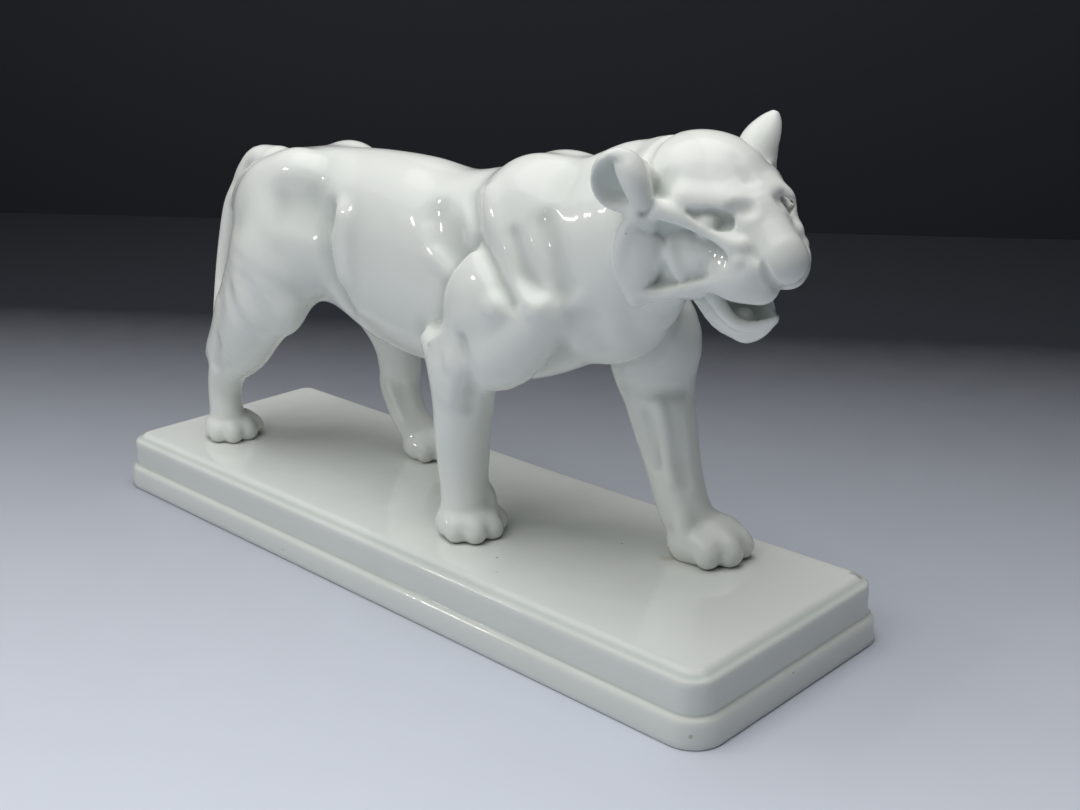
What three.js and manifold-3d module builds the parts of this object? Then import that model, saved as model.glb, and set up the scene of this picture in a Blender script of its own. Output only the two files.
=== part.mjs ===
// A glazed white porcelain tiger walking on a long stepped plinth.
// Millimetres, +Z up, the tiger walks towards +X and its left side is +Y.
import * as THREE from 'three';
import Module from 'manifold-3d';

// Driving sizes
const LENGTH = 360;            // plinth, over its foot
const WIDTH = 117;
const TOP = 26;                // height of the plinth's top face, where the paws stand
const FOOT_CORNER = 13;        // rounding of the foot in plan
const WALL = 6;                // thickness of the cast plinth
const CEILING = 19.5;          // underside of the plinth's top
const HEAD_AT = [138.5, -5, 165.3];
const HEAD_TURN = [-9.5, 14.2, 7.4];   // yaw, pitch and roll of the head in degrees
const CELL = 2.1;              // spacing of the points that the figure is measured on
const FACETS = 8800;           // triangles kept for the figure

const GLAZE = { color: 0xe4e7df, roughness: 0.12, metalness: 0.0 };

// Small vector helpers
const radians = (a) => a * Math.PI / 180;

function turned(yaw, pitch, roll) {
  const [a, p, r] = [radians(yaw), radians(pitch), radians(roll)];
  const [ca, sa] = [Math.cos(a), Math.sin(a)];
  const [cp, sp] = [Math.cos(p), Math.sin(p)];
  const [cr, sr] = [Math.cos(r), Math.sin(r)];
  return [
    [ca * cp, ca * sp * sr - sa * cr, ca * sp * cr + sa * sr],
    [sa * cp, sa * sp * sr + ca * cr, sa * sp * cr - ca * sr],
    [-sp, cp * sr, cp * cr],
  ];
}

const across = (m, v) => m.map((row) => row[0] * v[0] + row[1] * v[1] + row[2] * v[2]);
const back = (m, v) => [0, 1, 2].map((k) => m[0][k] * v[0] + m[1][k] * v[1] + m[2][k] * v[2]);
const plus = (a, b) => [a[0] + b[0], a[1] + b[1], a[2] + b[2]];

// A place on the figure with its own axes, used for the head and each paw
function place(at, yaw = 0, pitch = 0, roll = 0, size = 1, mirrored = false) {
  const turn = turned(yaw, pitch, roll);
  const side = mirrored ? -1 : 1;
  return {
    size,
    inward(p) {
      const q = back(turn, [p[0] - at[0], p[1] - at[1], p[2] - at[2]]);
      return [q[0] / size, q[1] / size * side, q[2] / size];
    },
    outward(p) {
      return plus(across(turn, [p[0] * size, p[1] * size * side, p[2] * size]), at);
    },
  };
}

// Blends two forms where they meet, over the distance k
function merged(a, b, k) {
  const h = Math.max(k - Math.abs(a - b), 0) / k;
  return Math.min(a, b) - h * h * h * k / 6;
}

// A curve through points, four steps between each pair
function curve(points, steps = 4) {
  if (points.length < 3) return points;
  const first = points[0].map((v, i) => 2 * v - points[1][i]);
  const n = points.length;
  const last = points[n - 1].map((v, i) => 2 * v - points[n - 2][i]);
  const e = [first, ...points, last];
  const out = [];
  for (let i = 1; i < e.length - 2; i += 1) {
    for (let s = 0; s < steps; s += 1) {
      const t = s / steps;
      const [a, b, c, d] = [e[i - 1], e[i], e[i + 1], e[i + 2]];
      out.push(b.map((_, j) => 0.5 * (2 * b[j] + (c[j] - a[j]) * t
        + (2 * a[j] - 5 * b[j] + 4 * c[j] - d[j]) * t * t
        + (3 * b[j] - a[j] - 3 * c[j] + d[j]) * t * t * t)));
    }
  }
  out.push(points[n - 1]);
  return out;
}

// Nearest place on a curve whose points carry a radius: [distance, radius]
function nearest(p, line) {
  let best = null;
  for (let i = 0; i + 1 < line.length; i += 1) {
    const [a, b] = [line[i], line[i + 1]];
    const ab = [b[0] - a[0], b[1] - a[1], b[2] - a[2]];
    const ap = [p[0] - a[0], p[1] - a[1], p[2] - a[2]];
    const long = Math.max(ab[0] ** 2 + ab[1] ** 2 + ab[2] ** 2, 1e-9);
    const t = Math.min(1, Math.max(0, (ap[0] * ab[0] + ap[1] * ab[1] + ap[2] * ab[2]) / long));
    const d = Math.hypot(ap[0] - ab[0] * t, ap[1] - ab[1] * t, ap[2] - ab[2] * t);
    const r = a[3] + t * (b[3] - a[3]);
    if (!best || d - r < best[0] - best[1]) best = [d, r];
  }
  return best;
}

// A smooth profile through knots
function profile(x, xs, ys) {
  const n = xs.length;
  const at = Math.min(Math.max(x, xs[0]), xs[n - 1] - 1e-6);
  let i = 0;
  while (i < n - 2 && xs[i + 1] <= at) i += 1;
  const slope = (k) => {
    if (k === 0) return (ys[1] - ys[0]) / (xs[1] - xs[0]);
    if (k === n - 1) return (ys[n - 1] - ys[n - 2]) / (xs[n - 1] - xs[n - 2]);
    const [h0, h1] = [xs[k] - xs[k - 1], xs[k + 1] - xs[k]];
    return (h0 * h0 * (ys[k + 1] - ys[k]) + h1 * h1 * (ys[k] - ys[k - 1])) / (h0 * h1 * (h0 + h1));
  };
  const h = xs[i + 1] - xs[i];
  const t = (at - xs[i]) / h;
  return ys[i] * (1 + 2 * t) * (1 - t) ** 2 + h * slope(i) * t * (1 - t) ** 2
    + ys[i + 1] * t * t * (3 - 2 * t) + h * slope(i + 1) * t * t * (t - 1);
}

// The clay: forms are laid on, cut away or pressed in, one after another
class Clay {
  constructor() {
    this.acts = [];
    this.frame = place([0, 0, 0]);
  }

  lay(centre, reach, act) {
    const frame = this.frame;
    this.acts.push({ centre: frame.outward(centre), reach: reach * frame.size, act, frame });
  }

  sides(pair) {
    return pair ? [1, -1] : [1];
  }

  ball(at, radii, blend, { turn = [0, 0, 0], cut = false, pair = false } = {}) {
    const size = this.frame.size;
    for (const side of this.sides(pair)) {
      const c = [at[0], at[1] * side, at[2]];
      const axes = turned(turn[0] * side, turn[1], turn[2] * side);
      this.lay(c, Math.max(...radii) + blend * 1.2 + 2, (p, now) => {
        const q = back(axes, [p[0] - c[0], p[1] - c[1], p[2] - c[2]]);
        const k0 = Math.hypot(q[0] / radii[0], q[1] / radii[1], q[2] / radii[2]);
        const k1 = Math.hypot(q[0] / radii[0] ** 2, q[1] / radii[1] ** 2, q[2] / radii[2] ** 2) + 1e-9;
        const d = k0 * (k0 - 1) / k1 * size;
        return cut ? -merged(-now, d, blend * size) : merged(now, d, blend * size);
      });
    }
  }

  bounds(path) {
    const mid = [0, 1, 2].map((k) => {
      const along = path.map((q) => q[k]);
      return (Math.min(...along) + Math.max(...along)) / 2;
    });
    const far = Math.max(...path.map((q) => Math.hypot(q[0] - mid[0], q[1] - mid[1], q[2] - mid[2])));
    return [mid, far + Math.max(...path.map((q) => q[3]))];
  }

  // flat squeezes the limb sideways, along y
  limb(points, blend, { flat = 1, cut = false, pair = false } = {}) {
    const size = this.frame.size;
    for (const side of this.sides(pair)) {
      const path = points.map(([x, y, z, r]) => [x, y * side, z, r]);
      const line = curve(path.map(([x, y, z, r]) => [x, y / flat, z, r]));
      const [mid, far] = this.bounds(path);
      const share = (1 + flat) / 2;
      this.lay(mid, far + blend * 1.2 + 2, (p, now) => {
        const [d, r] = nearest([p[0], p[1] / flat, p[2]], line);
        const gap = (d - r) * size * share;
        return cut ? -merged(-now, gap, blend * size) : merged(now, gap, blend * size);
      });
    }
  }

  // Raises the skin along a path, or presses it in when height is negative
  stroke(points, height, { pair = false } = {}) {
    const size = this.frame.size;
    for (const side of this.sides(pair)) {
      const path = points.map(([x, y, z, r]) => [x, y * side, z, r]);
      const line = curve(path.length > 1 ? path : [path[0], path[0]]);
      const [mid, far] = this.bounds(path);
      this.lay(mid, far + 1, (p, now) => {
        const [d, r] = nearest(p, line);
        const t = Math.min(1, d / r);
        return now - height * size * (1 - t * t) ** 3;
      });
    }
  }

  value(p) {
    let now = 60;
    for (const { centre, reach, act, frame } of this.acts) {
      const [x, y, z] = [p[0] - centre[0], p[1] - centre[1], p[2] - centre[2]];
      if (x * x + y * y + z * z < reach * reach) now = act(frame.inward(p), now);
    }
    return now;
  }
}

// Torso: top line, under line and half width along the body
const BODY_X = [-140, -126, -108, -85, -60, -35, -10, 15, 40, 62, 82, 100, 112];
const BODY_TOP = [146, 157, 164, 168, 170, 171, 170.5, 168, 172, 175.5, 172, 165, 154];
const BODY_LOW = [126, 116, 109, 103, 98, 89.5, 86.5, 87, 87, 93, 102, 111, 122];
const BODY_HALF = [10, 17, 22, 24, 23, 25, 27.5, 28, 26, 25, 23, 19, 12];
const BODY_FULLNESS = 2.2;
const BODY_ENDS = [-144, 116];

function torso(clay) {
  const n = BODY_FULLNESS;
  clay.lay([-14, 0, 130], 150, (p, now) => {
    const top = profile(p[0], BODY_X, BODY_TOP);
    const low = profile(p[0], BODY_X, BODY_LOW);
    const half = profile(p[0], BODY_X, BODY_HALF);
    const [h, c] = [(top - low) / 2, (top + low) / 2];
    const [a, b] = [Math.abs(p[1]) / half, Math.abs(p[2] - c) / h];
    const q = (a ** n + b ** n) ** (1 / n) + 1e-6;
    const g = Math.hypot(a ** (n - 1) / half, b ** (n - 1) / h) / q ** (n - 1) + 1e-6;
    let d = (q - 1) / g;
    d = -merged(-d, BODY_ENDS[1] - p[0], 14);
    d = -merged(-d, p[0] - BODY_ENDS[0], 14);
    return merged(now, Math.min(60, Math.max(-40, d)), 4);
  });
}

// A paw: a rounded pad and four toes that point forward
function paw(clay, at, side, size = 1) {
  clay.frame = place([at[0], at[1], TOP], 0, 0, 0, size, side < 0);
  clay.ball([-1, 0, 6], [14.5, 15, 9.5], 5);
  for (const [x, y, r] of [[2.5, 11, 4.9], [9.4, 6, 5.2], [10.6, -2.6, 5.3], [6.5, -10, 4.9]]) {
    clay.limb([[x - 8, y * 0.75, 8.5, r * 0.9], [x - 2, y * 0.95, 6.6, r], [x, y, 4.6, r]], 3);
  }
  clay.frame = place([0, 0, 0]);
}

function trunk(clay) {
  torso(clay);
  for (const side of [1, -1]) clay.ball([-76, 14 * side, 157.5], [17, 9.5, 12], 9);
  clay.limb([[62, 0, 140, 31], [88, 0, 147, 30], [110, -2, 156, 26], [126, -4, 163, 20]], 12, { flat: 0.82 });
  clay.limb([[76, 0, 166, 8], [92, 0, 174.5, 8], [102, -1, 178.8, 7.5], [114, -2, 181, 7]], 11);
  clay.ball([93, 0, 130.5], [21, 22, 25], 12);
  for (const side of [1, -1]) clay.ball([63, 7 * side, 165.5], [20, 10, 13], 10);
}

function frontLegs(clay) {
  // right, standing
  clay.ball([60, -14, 146], [25, 13.5, 27], 12, { turn: [0, 12, 0] });
  clay.ball([54, -25, 122], [22, 12.5, 22], 8, { turn: [0, 20, 0] });
  clay.limb([[78, -23, 126, 11], [60, -24, 108.5, 14.3], [44, -25, 103.5, 14.6]], 8, { flat: 0.9 });
  clay.limb([
    [22, -27, 104.5, 5.5], [34.5, -25, 97, 13], [34.5, -24, 82, 12.2], [33.5, -24, 70, 11.3],
    [32.4, -23, 58, 10.6], [32.5, -23, 47, 9.8], [33.5, -23.5, 38, 9.6],
  ], 8);
  clay.ball([39.5, -17, 39.5], [3.4, 4, 7], 3, { turn: [0, -8, 0] });
  paw(clay, [35.8, -23.2], -1, 0.92);
  // left, reaching forward
  clay.ball([66, 14, 146], [25, 13.5, 27], 12, { turn: [0, 16, 0] });
  clay.ball([76, 23, 124], [22, 12, 20], 8, { turn: [0, 20, 0] });
  clay.limb([[88, 22, 124, 15], [94, 22, 110, 17], [93, 22, 100, 15]], 8);
  clay.limb([
    [92, 22, 104, 16], [94.4, 22, 92.5, 14.4], [98.6, 22, 77, 12.8], [103, 22, 61.7, 11],
    [106.8, 22, 50, 10.3], [109.5, 22.5, 42.6, 10.2], [113.5, 24, 35, 9.6],
  ], 8);
  clay.ball([114.5, 15.5, 40.5], [4, 4, 7.5], 2.5, { turn: [0, -14, 0] });
  clay.ball([113.5, 18.5, 31], [6.5, 7, 7], 3);
  paw(clay, [119.5, 25.5], 1, 1.05);
}

function hindLegs(clay) {
  // right, stretched back
  clay.ball([-88, -16, 132], [34, 14, 33], 10, { turn: [0, -12, 0] });
  clay.ball([-86, -23, 99], [13, 9, 12], 12);
  clay.limb([
    [-105, -17, 118, 16], [-114, -21, 100, 13.5], [-124, -24, 84, 9.5], [-133, -24, 72, 7.5],
  ], 10, { flat: 0.9 });
  clay.limb([
    [-92, -18, 118, 22], [-98, -22, 102, 19], [-105, -24, 90, 16], [-116, -24, 76, 13.5],
    [-127, -24, 66, 10.5], [-133, -24, 57.9, 9.5], [-135.6, -24, 49.5, 8.7], [-135.6, -24, 40, 8.9],
  ], 10, { flat: 0.85 });
  clay.limb([[-121, -24, 94, 8], [-131, -24, 81, 5.5], [-140, -24, 68, 5]], 6);
  paw(clay, [-134.6, -22], -1, 0.88);
  // left, brought forward under the belly
  clay.ball([-78, 16, 133], [33, 14, 33], 10, { turn: [0, 6, 0] });
  clay.limb([
    [-76, 18, 112, 22], [-66, 22, 95, 17], [-60, 22, 80, 12.5], [-58.5, 22, 67, 10.8],
    [-59, 22, 57.6, 10.2], [-54, 22.5, 44, 9.2], [-48, 24.5, 35, 9],
  ], 10, { flat: 0.85 });
  paw(clay, [-43.5, 26], 1, 0.86);
}

function tail(clay) {
  clay.limb([
    [-112, 0, 158, 8], [-128, 1, 158, 6.5], [-136, 0, 151.5, 6], [-141.5, 0, 144, 6],
    [-147, -2, 134, 5.8], [-151.5, -5, 116, 4.8], [-152.5, -9, 98, 4], [-149, -15, 82, 3.2],
    [-145, -20, 72, 2.6],
  ], 5);
}

// Muscles and hollows, the same on both sides; the far side lies a little further forward
function muscles(clay) {
  const both = (path, height, forward = 6) => {
    clay.stroke(path, height);
    clay.stroke(path.map(([x, y, z, w]) => [x + forward, -y, z, w]), height);
  };
  // fold of the flank and the hollow before the hip
  both([
    [-47, -23, 145, 11], [-49, -24, 137, 12], [-48.5, -24, 129, 12],
    [-46.5, -23, 118, 11], [-41, -20.5, 107, 9],
  ], -2.1);
  both([[-38, -24, 146, 12], [-39, -25, 134, 12], [-38, -24, 122, 10]], 2.2);
  both([[-72, -26, 147, 18], [-60, -24, 146, 20], [-50, -23, 145, 15]], -2.8, 4);
  both([[-88, -28, 138, 20]], 1.6, 4);
  // back of the right thigh
  clay.stroke([[-92, -37, 113, 9], [-87, -36, 103, 9], [-82, -34, 94, 9]], -1);
  clay.stroke([[-104, -36, 106, 8], [-98, -36, 95, 8], [-93, -34, 86, 8]], -0.8);
  // behind the shoulder, and the back edge of the upper arm
  both([[20, -22, 153, 13], [27, -25, 147, 15], [36, -26, 141, 13]], -2.5);
  both([[37.5, -20, 163, 7], [45, -25, 156, 7.5], [48, -27, 147, 7]], -1.8);
  both([[46, -27, 146, 7], [39, -28, 137, 8], [33, -28, 128, 9], [28, -27, 116, 9]], -2.6);
  both([[53, -29.5, 146, 6], [47, -31, 140, 7], [43, -34, 130, 8], [35, -33, 117, 8]], 1.4);
  // ridge of the shoulder blade and the grooves in front of it
  both([[50, -24, 166, 9], [58, -28.5, 156, 9], [66, -30, 146, 8], [73, -31, 136, 8], [82, -32, 129, 8]], 1.4);
  both([[50, -28, 148, 5], [58, -31, 141.8, 6], [65, -33, 136, 6], [72, -34.5, 130, 5.5]], -1.8);
  both([[68.5, -28, 153, 6], [73, -29, 144, 7], [80, -30, 135, 7]], -1.4);
  both([[67, -36, 128, 9]], 1.8);
  both([[80, -25, 158, 9], [86, -26, 149, 10], [91, -25, 138, 10]], -1.8, 4);
  both([[98, -21, 125, 13], [99, -16, 113, 12]], -2.4, 0);
  // forearms, and the heel of the right hind leg
  clay.stroke([[43, -39, 104, 7], [45, -39, 97, 7], [41, -37, 86, 7]], 1.1);
  clay.stroke([[49.5, -38, 113, 5], [53, -38, 102, 6], [50, -34, 92, 6], [46, -31, 82, 5]], -1.7);
  clay.stroke([[98.5, 9, 83, 6], [101, 9.5, 73, 6], [103.5, 10.5, 64, 5]], -1.6);
  clay.stroke([[-121.5, -33, 78, 8], [-128, -32.5, 66, 7]], -1.5);
}

function rightEar(clay) {
  const at = [-10.8, -32.2, 15.8];
  const turn = [-50, 4, -4];
  const axes = turned(...turn);
  const on = (v) => plus(at, across(axes, v));
  clay.ball(plus(at, [-1, 6, -2.4]), [6.5, 9, 9], 4, { turn: [-20, 0, 0] });
  clay.ball(on([-1.9, 0, 0]), [4.6, 9.6, 11.2], 3, { turn });
  clay.ball(on([2.9, -1.6, -0.4]), [6.6, 7.4, 9.6], 1, { turn, cut: true });
  clay.limb([
    [-12.2, -30, 22.4, 3], [-8.6, -29.8, 20.6, 4.6], [-5.8, -28.8, 16.6, 4.8], [-4.6, -27.4, 11.6, 4],
  ], 2.2);
}

function leftEar(clay) {
  clay.limb([
    [-10, 26, 10, 7.6], [-11, 29.6, 14.5, 7.6], [-11.4, 33, 19, 5.6], [-11.8, 35.6, 23.3, 2.9],
  ], 5, { flat: 0.85 });
  clay.limb([[-5.5, 36.5, 14.5, 4.6], [-7, 38.2, 19, 3.2]], 2, { cut: true });
}

function head(clay) {
  const pair = true;
  clay.frame = place(HEAD_AT, ...HEAD_TURN);
  // skull, crown, forehead and bridge of the nose
  clay.ball([-9, 0, 3.5], [25, 23, 20], 9);
  clay.ball([-3.5, 1, 17.4], [16, 15, 9.2], 9);
  clay.limb([[0, 0, 6.5, 16], [12, 0, 5.4, 13.4], [22, 0, 3.4, 10.2], [30, 0, 0.4, 8.6]], 7);
  clay.ball([8, 0, 8.8], [11, 12, 9.2], 7);
  clay.limb([[19, 4.6, 10.8, 3.8], [13.5, 9.6, 12.2, 4.8], [5, 15.6, 11.2, 5.4]], 8, { pair });
  clay.ball([17.5, 13.5, 8], [4.8, 4.8, 6.5], 5);
  // cheeks, and the ruff that frames them
  clay.ball([2, 16, -9], [18, 9, 15], 8, { turn: [-14, 0, 0], pair });
  clay.ball([14, 12.5, -3], [12, 6.5, 8], 7, { turn: [-16, 0, 0], pair });
  clay.limb([[-5, 27.4, 7, 3], [-9, 29.4, -3, 3.3], [-9.6, 29, -15, 3.3], [-4.4, 26.4, -25, 2.8]], 8, { pair });
  clay.ball([-4.5, 24.4, -9], [7, 5.4, 15], 8, { pair });
  clay.limb([[-4.4, 26.6, -25, 2], [4, 21.9, -21, 2], [14, 17.5, -15, 2], [22, 13.4, -10, 2.6]], 4, { pair });
  clay.limb([[24, 8.8, 0.5, 5.6], [29.5, 7.6, -3, 5.4]], 6, { pair });
  clay.limb([
    [2.5, 27.6, -8, 12.5], [9.5, 24.2, -4.5, 11], [17.5, 20.4, -2, 8],
  ], 2, { flat: 0.27, cut: true, pair });
  clay.limb([
    [-6, 27, 8.6, 3.2], [1, 23.6, 9, 3.2], [8, 19.8, 8, 2.8], [13.5, 16.8, 5.9, 2.4], [23, 12.6, 3.4, 2.6],
  ], 4, { pair });
  clay.stroke([[4.2, 23, 0, 4.2], [5.8, 22, -7, 5], [9, 20.5, -13, 4.6]], 1.4, { pair });
  // lower jaw, open mouth and tongue
  clay.limb([[-6, 0, -12, 15], [6, 0, -20, 11], [14.6, 0, -27.4, 9], [21.4, 0, -29.2, 7.4]], 6, { flat: 1.05 });
  clay.limb([
    [15, 9, -20.4, 2.8], [20, 8.4, -24.2, 2.5], [24, 6.9, -26.6, 2.8], [28, 4.6, -26.4, 2.8],
    [31, 2.4, -24.6, 2.6],
  ], 3, { pair });
  clay.limb([[23, 0, -31, 5], [28, 0, -28.2, 3.6], [31.4, 0, -24, 2.2]], 4);
  clay.limb([
    [13, 0, -14.5, 4], [19.5, 0, -18.4, 6.4], [25.4, 0, -20.4, 6.6], [32, 0, -15.4, 5.2],
  ], 1.2, { flat: 1.12, cut: true });
  clay.ball([22.4, -1.6, -26.4], [3.4, 2.8, 2.6], 1.2);
  // upper lips and nose
  clay.ball([23.5, 9.2, -8], [11, 7.8, 9.2], 5, { turn: [-8, 0, 0], pair });
  clay.ball([28.4, -5.2, -11], [8.6, 6.6, 5.8], 3);
  clay.ball([28.4, 5.2, -8.8], [8.4, 6.4, 5.2], 3);
  clay.ball([33.2, 0, -2.4], [7.6, 8.8, 7.2], 5);
  clay.stroke([
    [34.6, 8.9, 0.4, 2], [36, 8.2, -2.6, 2.4], [37, 5.8, -6, 2.8], [37.6, 3, -8.2, 3], [37.8, 0, -9.2, 3],
  ], -2.2, { pair });
  clay.stroke([[38.6, 0, -10, 2], [37, 0, -15, 2.4]], -1.2);
  // eyes sunk under the brows
  clay.stroke([[21.4, 5.8, 12.6, 5.5], [19.4, 9, 12, 5.5]], -1.6, { pair });
  clay.limb([
    [10, 19.2, 10.6, 0.9], [13, 16.8, 9.6, 2.1], [16.4, 13.9, 9.2, 3], [19.2, 11.4, 9.2, 2.8],
  ], 2.5, { cut: true, pair });
  clay.ball([12, 13, 6], [5.2, 5.2, 4.9], 1.8, { pair });
  // hollow below the ear, dent of the forehead and back of the skull
  clay.stroke([[-0.8, 27.6, 10.4, 3.6], [-2.4, 27.8, 8.4, 3.4]], -2, { pair });
  clay.stroke([[9, 0, 24, 6], [15, 0, 20, 5]], -0.5);
  clay.stroke([[-16, 19, 17, 4.5], [-20.5, 11, 21, 4.5], [-22.5, 0, 22.5, 4.5]], -2.6, { pair });
  rightEar(clay);
  leftEar(clay);
  clay.frame = place([0, 0, 0]);
}

// The skin of the clay as a net of quads over a grid of cells
function skin(clay, low, high, cell) {
  const n = [0, 1, 2].map((k) => Math.ceil((high[k] - low[k]) / cell) + 1);
  const [sx, sy] = [n[1] * n[2], n[2]];
  const field = new Float32Array(n[0] * n[1] * n[2]).fill(60);
  const at = (i, j, k) => [low[0] + i * cell, low[1] + j * cell, low[2] + k * cell];
  for (const { centre, reach, act, frame } of clay.acts) {
    const from = [0, 1, 2].map((k) => Math.max(0, Math.ceil((centre[k] - reach - low[k]) / cell)));
    const to = [0, 1, 2].map((k) => Math.min(n[k] - 1, Math.floor((centre[k] + reach - low[k]) / cell)));
    for (let i = from[0]; i <= to[0]; i += 1) {
      for (let j = from[1]; j <= to[1]; j += 1) {
        for (let k = from[2]; k <= to[2]; k += 1) {
          const p = at(i, j, k);
          const away = (p[0] - centre[0]) ** 2 + (p[1] - centre[1]) ** 2 + (p[2] - centre[2]) ** 2;
          const m = i * sx + j * sy + k;
          if (away < reach * reach) field[m] = act(frame.inward(p), field[m]);
        }
      }
    }
  }
  const corners = [0, 1].flatMap((a) => [0, 1].flatMap((b) => [0, 1].map((c) => [a, b, c])));
  const name = new Int32Array(field.length).fill(-1);
  const points = [];
  for (let i = 0; i + 1 < n[0]; i += 1) {
    for (let j = 0; j + 1 < n[1]; j += 1) {
      for (let k = 0; k + 1 < n[2]; k += 1) {
        const m = i * sx + j * sy + k;
        const v = corners.map(([a, b, c]) => field[m + a * sx + b * sy + c]);
        const count = v.filter((x) => x < 0).length;
        if (count === 0 || count === 8) continue;
        const sum = [0, 0, 0];
        let hits = 0;
        for (let a = 0; a < 8; a += 1) {
          for (const bit of [4, 2, 1]) {
            const b = a | bit;
            if (a & bit || (v[a] < 0) === (v[b] < 0)) continue;
            const t = v[a] / (v[a] - v[b]);
            const pa = at(i + corners[a][0], j + corners[a][1], k + corners[a][2]);
            const pb = at(i + corners[b][0], j + corners[b][1], k + corners[b][2]);
            for (let c = 0; c < 3; c += 1) sum[c] += pa[c] + (pb[c] - pa[c]) * t;
            hits += 1;
          }
        }
        name[m] = points.length;
        points.push(sum.map((x) => x / hits));
      }
    }
  }
  const faces = [];
  const step = [sx, sy, 1];
  for (let i = 1; i + 1 < n[0]; i += 1) {
    for (let j = 1; j + 1 < n[1]; j += 1) {
      for (let k = 1; k + 1 < n[2]; k += 1) {
        const m = i * sx + j * sy + k;
        for (let axis = 0; axis < 3; axis += 1) {
          const inside = field[m] < 0;
          if (inside === (field[m + step[axis]] < 0)) continue;
          const [u, v] = [step[(axis + 1) % 3], step[(axis + 2) % 3]];
          const q = [name[m - u - v], name[m - v], name[m], name[m - u]];
          if (!inside) q.reverse();
          faces.push([q[0], q[1], q[2]], [q[0], q[2], q[3]]);
        }
      }
    }
  }
  return { points, faces };
}

// Slides the points evenly apart and back onto the clay
function settled(clay, { points, faces }, rounds) {
  let now = points;
  for (let round = 0; round < rounds; round += 1) {
    const sum = now.map(() => [0, 0, 0, 0]);
    for (const f of faces) {
      for (let i = 0; i < 3; i += 1) {
        const [a, b] = [f[i], f[(i + 1) % 3]];
        for (let c = 0; c < 3; c += 1) {
          sum[a][c] += now[b][c];
          sum[b][c] += now[a][c];
        }
        sum[a][3] += 1;
        sum[b][3] += 1;
      }
    }
    now = now.map((p, i) => {
      const q = p.map((v, c) => v + 0.4 * (sum[i][c] / sum[i][3] - v));
      const e = 0.2;
      const g = [0, 1, 2].map((c) => {
        const [hi, lo] = [[...q], [...q]];
        hi[c] += e;
        lo[c] -= e;
        return (clay.value(hi) - clay.value(lo)) / (2 * e);
      });
      const s = clay.value(q) / Math.max(g[0] ** 2 + g[1] ** 2 + g[2] ** 2, 0.05);
      const t = Math.min(1.5, Math.max(-1.5, s));
      return q.map((v, c) => v - t * g[c]);
    });
  }
  return { points: now, faces };
}

const cross = (a, b) => [a[1] * b[2] - a[2] * b[1], a[2] * b[0] - a[0] * b[2], a[0] * b[1] - a[1] * b[0]];
const less = (a, b) => [a[0] - b[0], a[1] - b[1], a[2] - b[2]];
const dot = (a, b) => a[0] * b[0] + a[1] * b[1] + a[2] * b[2];

// Squared distance of a point from a sum of planes, kept as ten numbers
function strain(q, [x, y, z]) {
  return q[0] * x * x + 2 * q[1] * x * y + 2 * q[2] * x * z + 2 * q[3] * x
    + q[4] * y * y + 2 * q[5] * y * z + 2 * q[6] * y + q[7] * z * z + 2 * q[8] * z + q[9];
}

function calmest(q, a, b) {
  const m = [[q[0], q[1], q[2]], [q[1], q[4], q[5]], [q[2], q[5], q[7]]];
  const r = [-q[3], -q[6], -q[8]];
  const det = dot(m[0], cross(m[1], m[2]));
  const mid = [(a[0] + b[0]) / 2, (a[1] + b[1]) / 2, (a[2] + b[2]) / 2];
  const scale = (q[0] + q[4] + q[7]) / 3;
  if (Math.abs(det) > 0.002 * scale ** 3) {
    const c = [cross(m[1], m[2]), cross(m[2], m[0]), cross(m[0], m[1])];
    const best = [0, 1, 2].map((k) => (c[0][k] * r[0] + c[1][k] * r[1] + c[2][k] * r[2]) / det);
    const away = less(best, mid);
    const edge = less(a, b);
    if (dot(away, away) < dot(edge, edge)) return best;
  }
  return [a, b, mid].sort((u, v) => strain(q, u) - strain(q, v))[0];
}

// How much a place counts when triangles are spared: most in the soles, the head and the paws
function worth([x, y, z], normalZ) {
  if (z < TOP + 0.01 && normalZ < -0.9) return 60;
  if (z < TOP + 16) return 1.6;
  return x > HEAD_AT[0] - 34 && z > 120 ? 3.5 : 1;
}

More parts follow.
